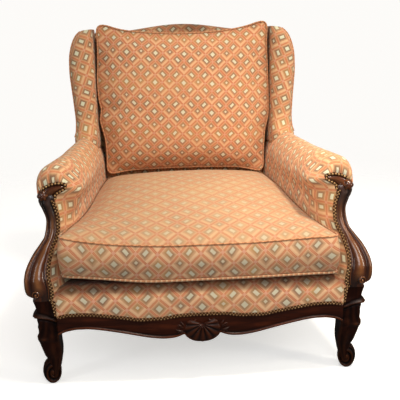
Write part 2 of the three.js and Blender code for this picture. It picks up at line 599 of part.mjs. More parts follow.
add('inside_back', cut(slab(12, 16, (u, v) => {
  // v runs up the front, over the crest and a little down behind it
  const hw = (z) => (z < 589 ? 281.5 : 302.5);
  const k = v * 16;
  let a, b, w;
  if (k <= 12) {
    const z = k <= 5 ? lerp(290.5, 586, k / 5) : lerp(592, 915, (k - 6) / 6);
    w = hw(z);
    const x = lerp(-w, w, u);
    const rear = postY(Math.min(z, 905)) - POST_HY - 1.2;
    const crown = 5 * Math.sqrt(Math.max(0, 1 - (x / w) ** 2));
    a = V(x, backFace(z) - crown + 3, z);
    b = V(x, rear, Math.min(z, crest(x) - 12));
  } else {
    w = 302.5;
    const x = lerp(-w, w, u), top = crest(x), t = (k - 12) / 4, th = Math.PI * (t * 0.5 + 0);
    a = V(x, lerp(backFace(930) + 2, 386, 1 - Math.cos(th)), lerp(930, top, Math.sin(th)));
    b = V(x, lerp(postY(905) - POST_HY - 1.2, 386, t), lerp(crest(x) - 12, crest(x) - 12, t));
    if (k === 16) b = V(x, 386.6, crest(x) - 12);
  }
  return [a, b];
}), crestRail(GAP)), FABRIC, 0.9);

add('outside_back', slab(10, 7, (u, v) => {
  const x = lerp(-355, 355, u);
  const top = Math.abs(x) > 300 ? 926 : crest(x) - 12;
  const z = lerp(205, top, v), y = postY(Math.min(905, z)) + POST_HY + 2.2;
  return [V(x, y, z), V(x, y + 3, z)];
}), FABRIC, 0.9);

// ---------------------------------------------------------------- bottoming cloth under the webbing
add('bottoming_cloth', cut(slab(1, 1, (u, v) => {
  const y = lerp(-368, 340, v), w = railX(y) - 4;
  return [V(lerp(-w, w, u), y, 162.6), V(lerp(-w, w, u), y, 161.4)];
}), ...corners), BLACKCLOTH, 0.95);

// ---------------------------------------------------------------- antique nail trims
function strip(points, half, y0f, depth) {   // thin band following a line on the face
  const rings = points.map(([x, z], i) => {
    const p = points[Math.max(0, i - 1)], q = points[Math.min(points.length - 1, i + 1)];
    const l = Math.hypot(q[0] - p[0], q[1] - p[1]), nx = -(q[1] - p[1]) / l, nz = (q[0] - p[0]) / l, y = y0f(x, z);
    return [V(x - nx * half, y, z - nz * half), V(x + nx * half, y, z + nz * half), V(x + nx * half, y + depth, z + nz * half), V(x - nx * half, y + depth, z - nz * half)];
  });
  return loft(rings);
}
const nailFront = [];
for (let i = -16; i <= 16; i++) { const x = i * 366 / 16; nailFront.push([x, table(NAIL_EDGE, 1, Math.abs(x)) + 5]); }
add('nail_trim_front', strip(nailFront, 2.2, () => -399, 1.6), BRASS, 0.4, 0.8);
const nailSide = STUMP.filter(([z]) => z > 256 && z < 504).map(([z, xo, xi]) => [xi + 6, z]);
pair('nail_trim', strip(nailSide, 2.2, (x, z) => stumpFront(z) - 2.6, 1.6), BRASS, 0.4, 0.8);

// ---------------------------------------------------------------- loose cushions and their piped seams
const WELT = 3;                         // radius of the piping
function loopTube(path, r = WELT, n = 5) {   // closed ring of piping along a closed path
  const pts = [], tris = [], m = path.length;
  path.forEach((p, i) => {
    const d = path[(i + 1) % m].clone().sub(path[(i + m - 1) % m]).normalize();
    const up = Math.abs(d.y) < 0.9 || Math.abs(d.x) > 0.1 ? V(0, 0, 1) : V(0, 0, 1);
    let s1 = d.clone().cross(Math.abs(d.z) > 0.8 ? V(0, 1, 0) : up).normalize();
    const s2 = s1.clone().cross(d).normalize();
    for (let k = 0; k < n; k++) {
      const a = (2 * Math.PI * k) / n;
      pts.push(p.clone().addScaledVector(s1, r * Math.cos(a)).addScaledVector(s2, r * Math.sin(a)));
    }
  });
  for (let i = 0; i < m; i++) {
    const j = (i + 1) % m;
    // the ring that matches best takes up any half turn of the frame between two stations
    let best = 0, bd = 1e9, dir = 1;
    for (const sgn of [1, -1]) for (let q = 0; q < n; q++) {
      let e = 0;
      for (let k = 0; k < n; k++) e += pts[i * n + k].distanceToSquared(pts[j * n + ((((sgn * k + q) % n) + n) % n)]);
      if (e < bd) { bd = e; best = q; dir = sgn; }
    }
    const at = (k) => j * n + ((((dir * k + best) % n) + n) % n);
    for (let k = 0; k < n; k++) {
      const k2 = (k + 1) % n;
      tris.push([i * n + k, i * n + k2, at(k2)], [i * n + k, at(k2), at(k)]);
    }
  }
  return fix(pts, tris);
}
const CUSH_HALF = [[-392, 350], [-330, 330], [-280, 312], [-170, 296], [50, 285], [277, 277]];
const CUSH_FRONT = -391.5, CUSH_REAR = 276;
const cushHalf = (y) => table(CUSH_HALF, 1, y);
const weltTop = (y) => lerp(394, 421, (y + 399) / 681), WELT_LOW = 303;
add('seat_cushion', slab(12, 8, (u, v) => {
  const y = lerp(CUSH_FRONT, CUSH_REAR, v), x = lerp(-1, 1, u) * cushHalf(y);
  const e = Math.min(1, 5 * Math.min(u, 1 - u)), f = Math.min(1, 4 * Math.min(v, 1 - v));
  const crown = 33 * Math.sin(Math.PI / 2 * e) * Math.sin(Math.PI / 2 * f) * (1 - 0.25 * v);
  return [V(x, y, weltTop(y) + crown), V(x, y, 292 + 10 * (1 - e * f))];
}), FABRIC, 0.9);
function cushionLoop(zOf) {
  const o = WELT + 1.2, path = [];
  for (let i = 0; i <= 6; i++) path.push([lerp(-1, 1, i / 6) * (cushHalf(CUSH_FRONT) + (i % 6 ? 0 : o * 0.7)), CUSH_FRONT - o]);
  for (let i = 1; i <= 7; i++) { const y = lerp(CUSH_FRONT, CUSH_REAR, i / 8); path.push([cushHalf(y) + o + 0.4, y]); }
  for (let i = 0; i <= 4; i++) path.push([lerp(1, -1, i / 4) * (cushHalf(CUSH_REAR) + (i % 4 ? 0 : o * 0.7)), CUSH_REAR + o]);
  for (let i = 7; i >= 1; i--) { const y = lerp(CUSH_FRONT, CUSH_REAR, i / 8); path.push([-cushHalf(y) - o - 0.4, y]); }
  return path.map(([x, y]) => V(x, y, zOf(y)));
}
add('seat_cushion_welt_top', loopTube(cushionLoop((y) => weltTop(Math.max(CUSH_FRONT, Math.min(CUSH_REAR, y))))), FABRIC, 0.9);
add('seat_cushion_welt_bottom', loopTube(cushionLoop(() => WELT_LOW)), FABRIC, 0.9);

const BC_Z0 = 455, BC_Z1 = 941;
const bcHalf = (z) => (z < 592 ? lerp(270, 276, (z - BC_Z0) / (592 - BC_Z0)) : Math.min(293, lerp(277, 292, (z - 592) / 30)));
const bcEdge = (z) => lerp(247, 290, (z - BC_Z0) / (BC_Z1 - BC_Z0));
add('back_cushion', slab(12, 10, (u, v) => {
  const z = lerp(BC_Z0, BC_Z1, v), x = lerp(-1, 1, u) * bcHalf(z);
  const e = Math.sin(Math.PI / 2 * Math.min(1, 4 * Math.min(u, 1 - u))), f = Math.sin(Math.PI / 2 * Math.min(1, 4 * Math.min(v, 1 - v)));
  const rear = backFace(z) - 6.5, edge = bcEdge(z);
  const front = edge - 11 - 34 * e * f * (1 - 0.3 * v), lift = 5 * (2 * u - 1) ** 2 * v;
  return [V(x, front, z + lift), V(x, lerp(edge + 12, rear, Math.min(1, e * f + (v < 0.5 ? 0.5 : 0))), z + lift)];
}), FABRIC, 0.9);
const bcLoop = [];
for (let i = 0; i <= 6; i++) bcLoop.push([lerp(-1, 1, i / 6) * (bcHalf(BC_Z0) + (i % 6 ? 0 : 2)), BC_Z0 - 3.8]);
for (let i = 1; i <= 9; i++) { const z = lerp(BC_Z0, BC_Z1, i / 10); bcLoop.push([bcHalf(z) + 4, z]); }
for (let i = 0; i <= 6; i++) { const q = lerp(1, -1, i / 6); bcLoop.push([q * (bcHalf(BC_Z1) + (i % 6 ? 0 : 2)), BC_Z1 + 3.8 + 5 * q * q]); }
for (let i = 9; i >= 1; i--) { const z = lerp(BC_Z0, BC_Z1, i / 10); bcLoop.push([-bcHalf(z) - 4, z]); }
add('back_cushion_welt', loopTube(bcLoop.map(([x, z]) => V(x, bcEdge(Math.max(BC_Z0, Math.min(BC_Z1, z))), z))), FABRIC, 0.9);

export default group;
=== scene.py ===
"""Wing bergere chair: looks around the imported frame. Lengths in the tables are millimetres, the scene is in metres."""
import math
import bpy
import bmesh
import numpy as np
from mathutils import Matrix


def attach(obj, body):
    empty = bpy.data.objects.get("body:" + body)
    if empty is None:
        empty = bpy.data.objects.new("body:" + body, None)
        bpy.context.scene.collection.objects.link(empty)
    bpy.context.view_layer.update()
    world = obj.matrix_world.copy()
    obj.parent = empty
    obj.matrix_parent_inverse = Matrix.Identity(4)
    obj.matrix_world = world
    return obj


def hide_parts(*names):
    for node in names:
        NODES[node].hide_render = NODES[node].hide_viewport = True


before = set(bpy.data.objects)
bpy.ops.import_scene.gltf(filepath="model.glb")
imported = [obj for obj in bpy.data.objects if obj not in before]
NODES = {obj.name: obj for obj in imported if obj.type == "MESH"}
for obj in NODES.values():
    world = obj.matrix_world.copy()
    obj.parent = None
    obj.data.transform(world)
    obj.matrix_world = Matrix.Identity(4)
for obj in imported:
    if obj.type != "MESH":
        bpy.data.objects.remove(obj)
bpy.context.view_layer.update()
MM = 0.001
PI = math.pi
sc = bpy.context.scene

# ------------------------------------------------------------------ small maths
def curve(rows, k=1):
    """Smooth curve through table rows, monotone between them, as a function of column 0."""
    r = sorted((float(a[0]), float(a[k])) for a in rows)
    xs, ys = np.array([a for a, _ in r]), np.array([b for _, b in r])
    h = np.diff(xs)
    d = np.diff(ys) / h
    m = np.zeros_like(ys)
    same = d[:-1] * d[1:] > 0
    m[1:-1] = np.where(same, 2 * d[:-1] * d[1:] / np.where(same, d[:-1] + d[1:], 1), 0)
    m[0], m[-1] = d[0], d[-1]

    def f(x):
        x = np.clip(np.asarray(x, float), xs[0], xs[-1])
        i = np.clip(np.searchsorted(xs, x, side="right") - 1, 0, len(xs) - 2)
        t = (x - xs[i]) / h[i]
        return ((2 * t**3 - 3 * t**2 + 1) * ys[i] + (t**3 - 2 * t**2 + t) * h[i] * m[i]
                + (-2 * t**3 + 3 * t**2) * ys[i + 1] + (t**3 - t**2) * h[i] * m[i + 1])
    return f


def lerp(a, b, t):
    return a + (b - a) * t


def sm(t):
    """0 to 1 with soft ends."""
    t = np.clip(t, 0, 1)
    return t * t * (3 - 2 * t)


def bump1(x, c, w):
    """1 at c, 0 further than w away, round in between."""
    return np.cos(np.clip((np.asarray(x, float) - c) / w, -1, 1) * PI / 2) ** 2


def wobble(x, y, seed=0.0):
    """Soft seeded unevenness, about -1 to 1, for lengths in mm."""
    x, y = np.asarray(x, float), np.asarray(y, float)
    return (np.sin(x / 61 + 1.3 * seed + 1.7 * np.sin(y / 83 + seed)) * 0.5
            + np.sin(y / 47 + 2.1 * seed + 1.3 * np.sin(x / 57 - seed)) * 0.35
            + np.sin((x + y) / 33 + 0.7 * seed) * 0.15)


# ------------------------------------------------------------------ outlines shared with the frame
STUMP = [[255.2, 431, 387, -391, 46], [263, 437, 383, -393, 50], [276, 444, 380.5, -395, 52], [292, 447.5, 381.5, -396, 52], [308, 448, 384.5, -395, 52],
         [325, 446, 387.5, -389, 52], [343, 440, 387, -380, 50], [367, 427, 382.5, -366, 46], [388, 411, 377, -352, 42], [408, 398, 368, -340, 39],
         [430, 393.5, 363, -330, 38], [455, 391, 363, -325, 37], [478, 393, 367, -324, 37], [492, 399, 371, -325, 38], [503, 403.5, 374, -325, 38],
         [513, 402, 377, -323, 36], [519, 396, 381, -319, 30]]
LEG = [[254.8, 430, 372, -390, 62], [228, 424, 372, -389, 62], [219, 427, 372, -391, 64], [213, 430, 372, -393, 66], [205, 425, 372, -389, 62],
       [186, 423.5, 372, -386, 60], [165, 424, 372, -383, 58], [146, 428, 373, -382, 57], [130, 425.5, 373.5, -377, 53], [104, 421, 372, -370, 46],
       [87, 417.5, 373, -365, 41], [71, 411.5, 376, -360, 36], [56, 410, 379, -358, 33], [38, 409, 384, -357, 30], [24, 407, 388, -356, 27]]
RAIL_EDGE = [[371.6, 161], [356, 168.5], [340, 172.5], [322, 174.8], [300, 174.8], [278, 172.6], [257, 169], [230, 163.5], [203, 157.5], [174, 150.5],
             [144, 143.5], [120, 139.4], [97, 137.3], [80, 137.9], [66, 140.3], [54, 144.5], [47, 147], [43, 141], [36, 134.5], [26, 128.6], [14, 125], [0, 123.8]]
NAIL_EDGE = [[371.6, 206], [341, 212], [309, 212], [245, 204.5], [191, 195.5], [160, 190], [108, 190.5], [55, 197], [0, 198]]
POST = [[0, 342, 380], [60, 340, 369], [160, 338, 345], [240, 337, 332], [420, 337, 335], [600, 337, 346], [905, 337, 376.3]]
ARM_CORE = [[-400, 345], [-330, 322], [-280, 304], [-170, 290], [50, 283], [310, 287]]
ARM_OUT = [[-318, 404], [-260, 410], [-100, 402], [100, 388], [200, 377], [310, 367]]
ARM_NAIL = [[255, 384], [276, 377], [292, 378], [308, 381], [325, 384], [343, 383.5], [367, 378.5], [388, 372], [408, 364], [430, 359.5], [455, 359],
            [478, 361], [492, 363.5], [502, 366.5], [508, 367.5], [514, 366.5], [519, 361.5], [524, 352], [530, 341]]
WING_FRONT = [[589, 210], [640, 212], [720, 220], [800, 229], [880, 241], [920, 251], [936, 262]]

s_out, s_in, s_front, s_deep = (curve(STUMP, k) for k in (1, 2, 3, 4))
l_out, l_in, l_front, l_deep = (curve(LEG, k) for k in (1, 2, 3, 4))
rail_edge, nail_edge = curve(RAIL_EDGE), curve(NAIL_EDGE)
post_y = curve(POST, 2)
arm_core, arm_out, arm_nail = curve(ARM_CORE), curve(ARM_OUT), curve(ARM_NAIL)
wing_front = curve(WING_FRONT)


def rail_x(y):
    return lerp(401, 337, (np.asarray(y, float) + 328) / 640)


def back_face(z):
    return lerp(289, 336, np.maximum(0, np.asarray(z, float) - 420) / 530)


def crest(x):
    return 960 - 24 * (1 - np.cos(np.minimum(1, np.abs(x) / 262) * PI)) / 2


# ------------------------------------------------------------------ mesh building
class Part:
    """Grids of points that are merged into one mesh, with a cloth map in metres and a shade map of two values: wear,
    fading and painted highlight; dirt and painted shade.
    """

    def __init__(self):
        self.v, self.f, self.uv, self.sh, self.m, self.n = [], [], [], [], [], 0

    def grid(self, P, UV=None, SH=None, mat=0):
        P = np.asarray(P, float)
        a, b = P.shape[:2]
        UV = np.zeros((a, b, 2)) if UV is None else np.broadcast_to(np.asarray(UV, float), (a, b, 2))
        if SH is None:
            SH = np.zeros((a, b, 2))
        SH = np.broadcast_to(np.asarray(SH, float), (a, b, 2))
        idx = np.arange(a * b).reshape(a, b)
        q = np.stack([idx[:-1, :-1], idx[1:, :-1], idx[1:, 1:], idx[:-1, 1:]], -1).reshape(-1, 4)
        self.v.append(P.reshape(-1, 3))
        self.f.append(q + self.n)
        self.uv.append(UV.reshape(-1, 2)[q])
        self.sh.append(SH.reshape(-1, 2)[q])
        self.m.append(np.full(len(q), mat))
        self.n += a * b
        return self

    def mirror(self):
        """The same part on the other side, x to -x."""
        o = Part()
        o.n = self.n
        o.v = [v * np.array([-1, 1, 1]) for v in self.v]
        o.f = [f[:, ::-1] for f in self.f]
        o.uv = [u[:, ::-1] * np.array([-1, 1]) for u in self.uv]
        o.sh = [s[:, ::-1] for s in self.sh]
        o.m = list(self.m)
        return o

    def obj(self, name, mats, merge=0.02, closed=True, body="frame"):
        v = np.concatenate(self.v) * MM
        f = np.concatenate(self.f)
        me = bpy.data.meshes.new(name)
        me.vertices.add(len(v))
        me.vertices.foreach_set("co", v.ravel())
        me.loops.add(f.size)
        me.loops.foreach_set("vertex_index", f.ravel().astype(np.int32))
        me.polygons.add(len(f))
        me.polygons.foreach_set("loop_start", np.arange(0, f.size, 4, dtype=np.int32))
        me.polygons.foreach_set("material_index", np.concatenate(self.m).astype(np.int32))
        me.update(calc_edges=True)
        me.uv_layers.new(name="cloth").data.foreach_set("uv", np.concatenate(self.uv).ravel())
        me.uv_layers.new(name="shade").data.foreach_set("uv", np.concatenate(self.sh).ravel())
        for m in (mats if isinstance(mats, (list, tuple)) else [mats]):
            me.materials.append(m)
        bm = bmesh.new()
        bm.from_mesh(me)
        if merge:
            bmesh.ops.remove_doubles(bm, verts=bm.verts, dist=merge * MM)
            bmesh.ops.dissolve_degenerate(bm, edges=bm.edges, dist=1e-6)
        loose = [x for x in bm.verts if not x.link_faces]
        if loose:
            bmesh.ops.delete(bm, geom=loose, context="VERTS")
        if closed:
            bmesh.ops.recalc_face_normals(bm, faces=bm.faces)
        for p in bm.faces:
            p.smooth = True
        bm.to_mesh(me)
        bm.free()
        me.update()
        o = bpy.data.objects.new(name, me)
        sc.collection.objects.link(o)
        if body:
            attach(o, body)
        return o


def ring_loft(part, R, SH=None, mat=0, UV=None, cap=True):
    """Closed rings R[k, n, 3] skinned along k, with both ends closed."""
    R = np.asarray(R, float)
    P = np.concatenate([R, R[:, :1]], 1)
    S = None if SH is None else np.concatenate([SH, SH[:, :1]], 1)
    if UV is None:
        per = np.concatenate([np.zeros((len(R), 1)), np.cumsum(np.linalg.norm(np.diff(P, axis=1), axis=2), 1)], 1)
        mid = R.mean(1)
        run = np.concatenate([[0], np.cumsum(np.linalg.norm(np.diff(mid, axis=0), axis=1))])
        UV = np.stack([per, np.broadcast_to(run[:, None], per.shape)], -1) * MM
    part.grid(P, UV, S, mat)
    if cap:
        for k in (0, -1):
            c = R[k].mean(0)
            part.grid(np.stack([P[k], np.broadcast_to(c, P[k].shape)]), np.stack([UV[k], UV[k]]),
                      None if SH is None else np.stack([S[k], S[k]]), mat)
    return part


def frames_along(path, up=(0, 0, 1)):
    path = np.asarray(path, float)
    t = np.gradient(path, axis=0)
    t /= np.linalg.norm(t, axis=1)[:, None]
    a = np.cross(t, np.asarray(up, float))
    a /= np.maximum(1e-9, np.linalg.norm(a, axis=1))[:, None]
    return t, a, np.cross(a, t)


def tube(part, path, r, n=8, closed=False, mat=0, normals=None, SH=(0, 0), squash=1.0):
    """Round tube along a path, with the length along it as the cloth map's first number."""
    path = np.asarray(path, float)
    m = len(path)
    t = (np.roll(path, -1, 0) - np.roll(path, 1, 0)) if closed else np.gradient(path, axis=0)
    t /= np.linalg.norm(t, axis=1)[:, None]
    if normals is None:
        nrm = np.zeros_like(path)
        v = np.array([0, 0, 1.0]) if abs(t[0][2]) < 0.8 else np.array([0, 1.0, 0])
        for i in range(m):
            v = v - t[i] * v.dot(t[i])
            v /= np.linalg.norm(v)
            nrm[i] = v
        if closed:          # shares out the twist that is left over at the end
            w = nrm[-1] - t[0] * nrm[-1].dot(t[0])
            w /= np.linalg.norm(w)
            ang = math.atan2(np.cross(w, nrm[0]).dot(t[0]), w.dot(nrm[0]))
            b = np.cross(t, nrm)
            q = ang * np.arange(m) / m
            nrm = nrm * np.cos(q)[:, None] + b * np.sin(q)[:, None]
    else:
        nrm = np.asarray(normals, float)
        nrm = nrm - t * (nrm * t).sum(1)[:, None]
        nrm /= np.linalg.norm(nrm, axis=1)[:, None]
    b = np.cross(t, nrm)
    r = np.broadcast_to(np.asarray(r, float), (m,))
    a = 2 * PI * np.arange(n + 1) / n
    P = (path[:, None] + nrm[:, None] * (np.cos(a)[None, :, None] * r[:, None, None])
         + b[:, None] * (np.sin(a)[None, :, None] * r[:, None, None] * squash))
    seg = np.linalg.norm(np.diff(path, axis=0), axis=1)
    s = np.concatenate([[0], np.cumsum(seg)])
    if closed:
        P = np.concatenate([P, P[:1]], 0)
        s = np.concatenate([s, [s[-1] + np.linalg.norm(path[0] - path[-1])]])
    UV = np.stack(np.broadcast_arrays(s[:, None] * MM, (a * r.mean())[None, :] * MM), -1)
    part.grid(P, UV, np.broadcast_to(np.asarray(SH, float), P.shape[:2] + (2,)), mat)
    if not closed:
        for k in (0, -1):
            c = path[k]
            part.grid(np.stack([P[k], np.broadcast_to(c, P[k].shape)]), np.stack([UV[k], UV[k]]), None, mat)
    return part


# ------------------------------------------------------------------ materials
def lin(*rgb):
    """sRGB 0-255 to a linear colour."""
    return tuple((c / 255 / 12.92 if c / 255 <= 0.04045 else ((c / 255 + 0.055) / 1.055) ** 2.4) for c in rgb) + (1.0,)


class G:
    """Short hand for building a node material."""

    def __init__(self, name):
        self.mat = bpy.data.materials.new(name)
        self.mat.use_nodes = True
        self.t = self.mat.node_tree
        self.t.nodes.clear()
        self.out = self.t.nodes.new("ShaderNodeOutputMaterial")
        self.b = self.t.nodes.new("ShaderNodeBsdfPrincipled")
        self.t.links.new(self.b.outputs[0], self.out.inputs[0])
        self.mat.diffuse_color = (0.5, 0.4, 0.3, 1)

    def put(self, sock, val):
        if isinstance(val, bpy.types.NodeSocket):
            self.t.links.new(val, sock)
        elif val is not None:
            try:
                sock.default_value = val
            except (TypeError, ValueError):
                sock.default_value = tuple(val)[:3]

    def m(self, op, a, b=None, c=None, clamp=False):
        n = self.t.nodes.new("ShaderNodeMath")
        n.operation, n.use_clamp = op, clamp
        for s, v in zip(n.inputs, (a, b, c)):
            self.put(s, v)
        return n.outputs[0]

    def step(self, x, a, b):
        """0 below a, 1 above b."""
        n = self.t.nodes.new("ShaderNodeMapRange")
        n.interpolation_type = "SMOOTHSTEP"
        for k, v in zip(("Value", "From Min", "From Max"), (x, a, b)):
            self.put(n.inputs[k], v)
        return n.outputs[0]

    def mix(self, f, a, b, mode="MIX"):
        n = self.t.nodes.new("ShaderNodeMix")
        n.data_type, n.blend_type = "RGBA", mode
        self.put(n.inputs[0], f)
        self.put(n.inputs[6], a)
        self.put(n.inputs[7], b)
        return n.outputs[2]

    def uv(self, name):
        n = self.t.nodes.new("ShaderNodeUVMap")
        n.uv_map = name
        s = self.t.nodes.new("ShaderNodeSeparateXYZ")
        self.t.links.new(n.outputs[0], s.inputs[0])
        return n.outputs[0], s.outputs[0], s.outputs[1]

    def vec(self, x, y, z=0.0):
        n = self.t.nodes.new("ShaderNodeCombineXYZ")
        for s, v in zip(n.inputs, (x, y, z)):
            self.put(s, v)
        return n.outputs[0]

    def obj(self, scale=(1, 1, 1)):
        n = self.t.nodes.new("ShaderNodeTexCoord")
        k = self.t.nodes.new("ShaderNodeMapping")
        self.t.links.new(n.outputs["Object"], k.inputs[0])
        k.inputs["Scale"].default_value = scale
        return k.outputs[0]

    def noise(self, vec, scale, detail=2.0, rough=0.5, dist=0.0):
        n = self.t.nodes.new("ShaderNodeTexNoise")
        self.put(n.inputs["Vector"], vec)
        n.inputs["Scale"].default_value = scale
        n.inputs["Detail"].default_value = detail
        n.inputs["Roughness"].default_value = rough
        n.inputs["Distortion"].default_value = dist
        return n.outputs[0]

    def ramp(self, x, stops, mode="LINEAR"):
        n = self.t.nodes.new("ShaderNodeValToRGB")
        n.color_ramp.interpolation = mode
        e = n.color_ramp.elements
        while len(e) > 1:
            e.remove(e[-1])
        e[0].position, e[0].color = stops[0]
        for p, c in stops[1:]:
            k = e.new(p)
            k.color = c
        self.put(n.inputs[0], x)
        return n.outputs[0]

    def bump(self, h, strength=0.5, dist=0.001, normal=None):
        n = self.t.nodes.new("ShaderNodeBump")
        n.inputs["Strength"].default_value = strength
        n.inputs["Distance"].default_value = dist
        self.put(n.inputs["Height"], h)
        if normal is not None:
            self.t.links.new(normal, n.inputs["Normal"])
        return n.outputs[0]

    def set(self, **kw):
        for k, v in kw.items():
            self.put(self.b.inputs[k.replace("_", " ")], v)
        return self.mat


# colours of the cloth, as seen in even light
IVORY, LIGHT, ORANGE, SALMON, RUST = lin(240, 227, 194), lin(244, 192, 148), lin(232, 166, 120), lin(222, 144, 104), lin(212, 112, 76)
KHAKI, GOLD, TAUPE, DUSK, MAUVE = lin(180, 134, 88), lin(208, 150, 88), lin(158, 116, 90), lin(134, 98, 78), lin(176, 122, 98)
SPOT, GREYED = lin(242, 186, 158), lin(216, 208, 192)
CLOTH_T = 0.069   # repeat of the lattice, measured square to its lines


def fabric(name, bands, axis="v", period=0.165, shift=0.0, scale=1.0, ou=0.0, ov=0.0, ring_k=1.0, pale=0.0, tint=(1, 1, 1), core_k=1.0):
    """Diamond lattice cloth woven in four repeating lozenges: a large one, a small one and two oblong ones.

    bands are the ring colours that follow each other along the axis."""
    g = G(name)
    _, u, v = g.uv("cloth")
    _, worn, dirt_and_shade = g.uv("shade")
    base_vec = g.vec(u, v)
    wob = g.m("MULTIPLY", g.m("SUBTRACT", g.noise(base_vec, 26.0, 2.0), 0.5), 0.0040)
    wob2 = g.m("MULTIPLY", g.m("SUBTRACT", g.noise(g.vec(v, u), 23.0, 2.0), 0.5), 0.0040)
    uu, vv = g.m("ADD", g.m("ADD", u, ou), wob), g.m("ADD", g.m("ADD", v, ov), wob2)
    k = scale / math.sqrt(2)
    fuzz = g.m("MULTIPLY", g.m("SUBTRACT", g.noise(base_vec, 420.0, 2.0), 0.5), 1.3)

    def along(x):
        """position in mm inside the repeat: 0-34.5 is a wide cell, 34.5-69 a narrow one; distance to the line, and to the middle"""
        t = g.m("MULTIPLY", g.m("FLOORED_MODULO", g.m("ADD", g.m("MULTIPLY", x, k), CLOTH_T / 4), CLOTH_T), 1000.0)
        t = g.m("ADD", t, fuzz)
        b = g.m("GREATER_THAN", t, 34.5)
        e = g.m("SUBTRACT", 17.25, g.m("ABSOLUTE", g.m("SUBTRACT", g.m("SUBTRACT", t, 17.25), g.m("MULTIPLY", b, 34.5))))
        c = g.m("ABSOLUTE", g.m("SUBTRACT", g.m("SUBTRACT", t, 17.25), g.m("MULTIPLY", b, 31.0)))
        strip = g.m("MULTIPLY", g.step(t, 58.6, 60.6), g.m("SUBTRACT", 1.0, g.step(t, 63.4, 65.2)))
        return t, b, e, c, strip
    tp, bp_, ep, cp, sp = along(g.m("SUBTRACT", uu, vv))
    tq, bq, eq, cq, sq = along(g.m("MULTIPLY", g.m("ADD", uu, vv), -1.0))

    def half(b1, b2):
        """half size of the core: 5.7 large, 3.2 small, 7.0 by 3.9 oblong"""
        n1 = g.m("ADD", 5.7 * core_k, g.m("MULTIPLY", b2, 1.3 * core_k))
        n2 = g.m("ADD", 3.9 * core_k, g.m("MULTIPLY", b2, -0.7 * core_k))
        return g.m("ADD", n1, g.m("MULTIPLY", b1, g.m("SUBTRACT", n2, n1)))
    d = g.m("MAXIMUM", g.m("SUBTRACT", cp, half(bp_, bq)), g.m("SUBTRACT", cq, half(bq, bp_)))
    e = g.m("MINIMUM", ep, eq)
    # ring colour runs in bands along the cloth, and so does the ground a little
    coord = {"v": v, "u": u}[axis]
    ph = g.m("FRACT", g.m("ADD", g.m("ADD", g.m("DIVIDE", coord, period), shift), g.m("MULTIPLY", g.m("SUBTRACT", g.noise(base_vec, 7.0, 1.0), 0.5), 0.16)))
    stops = [((i + 0.0) / len(bands), c) for i, c in enumerate(bands)] + [(1.0, bands[0])]
    ring = g.ramp(ph, stops)
    ring = g.mix(g.m("MULTIPLY", g.noise(base_vec, 38.0, 2.0), 0.6), ring, DUSK)
    ground = g.mix(g.noise(base_vec, 14.0, 2.0), ORANGE, g.mix(0.6, ORANGE, SALMON))
    if pale:
        ground = g.mix(pale, ground, g.mix(0.25, lin(222, 184, 144), ring))
    col = ground
    # soft light strip on the far side of the narrow cells
    away = g.step(e, 2.2, 4.6)
    light = g.m("MULTIPLY", g.m("MULTIPLY", g.m("MAXIMUM", sp, sq), away), 0.85)
    col = g.mix(light, col, LIGHT)
    thin = g.m("MULTIPLY", g.step(e, 2.0, 2.8), g.m("SUBTRACT", 1.0, g.step(e, 3.8, 4.8)))
    col = g.mix(g.m("MULTIPLY", thin, 0.55), col, LIGHT)
    # the rings round the core
    col = g.mix(g.m("SUBTRACT", 1.0, g.step(d, 4.0, 8.4)), col, g.mix(min(1.0, 0.45 * ring_k), ground, ring))
    col = g.mix(g.m("SUBTRACT", 1.0, g.step(d, 2.2, 4.8)), col, g.mix(0.88, ground, ring))
    core = g.mix(g.m("MULTIPLY", g.noise(base_vec, 55.0, 1.0), 0.6), g.mix(0.45, IVORY, lin(196, 178, 152)) if pale > 0.2 else IVORY, g.mix(0.5, GREYED, ring) if pale > 0.2 else GREYED)
    core = g.mix(g.m("MULTIPLY", g.m("MULTIPLY", bp_, bq), 0.12), core, ground)
    col = g.mix(g.m("SUBTRACT", 1.0, g.step(d, -0.5, 0.7)), col, core)
    # one set of lines is a broad soft band, the other a narrow pair
    red_p = g.m("SUBTRACT", 1.0, g.step(ep, 2.2, 3.2))
    red_q = g.m("MULTIPLY", g.m("SUBTRACT", 1.0, g.step(eq, 2.4, 3.0)), g.m("ADD", 0.35, g.m("MULTIPLY", g.step(eq, 0.5, 1.2), 0.65)))
    col = g.mix(g.m("MULTIPLY", red_p, 0.85), col, g.mix(0.5, SALMON, RUST))
    col = g.mix(g.m("MULTIPLY", red_q, 0.95), col, RUST)
    cross = g.m("MULTIPLY", g.m("SUBTRACT", 1.0, g.step(ep, 2.4, 4.6)), g.m("SUBTRACT", 1.0, g.step(eq, 2.4, 4.6)))
    col = g.mix(g.m("MULTIPLY", cross, 0.55), col, SPOT)
    # faded and rubbed where people sit
    f = g.m("MULTIPLY", worn, g.m("ADD", 0.72, g.m("MULTIPLY", g.noise(base_vec, 8.0, 3.0), 0.55)), clamp=True)
    rub = g.mix(g.step(e, 1.0, 5.0), lin(222, 156, 114), g.mix(g.m("SUBTRACT", 1.0, g.step(d, 0.5, 5.5)), lin(228, 176, 130), lin(230, 190, 146)))
    col = g.mix(f, col, rub)
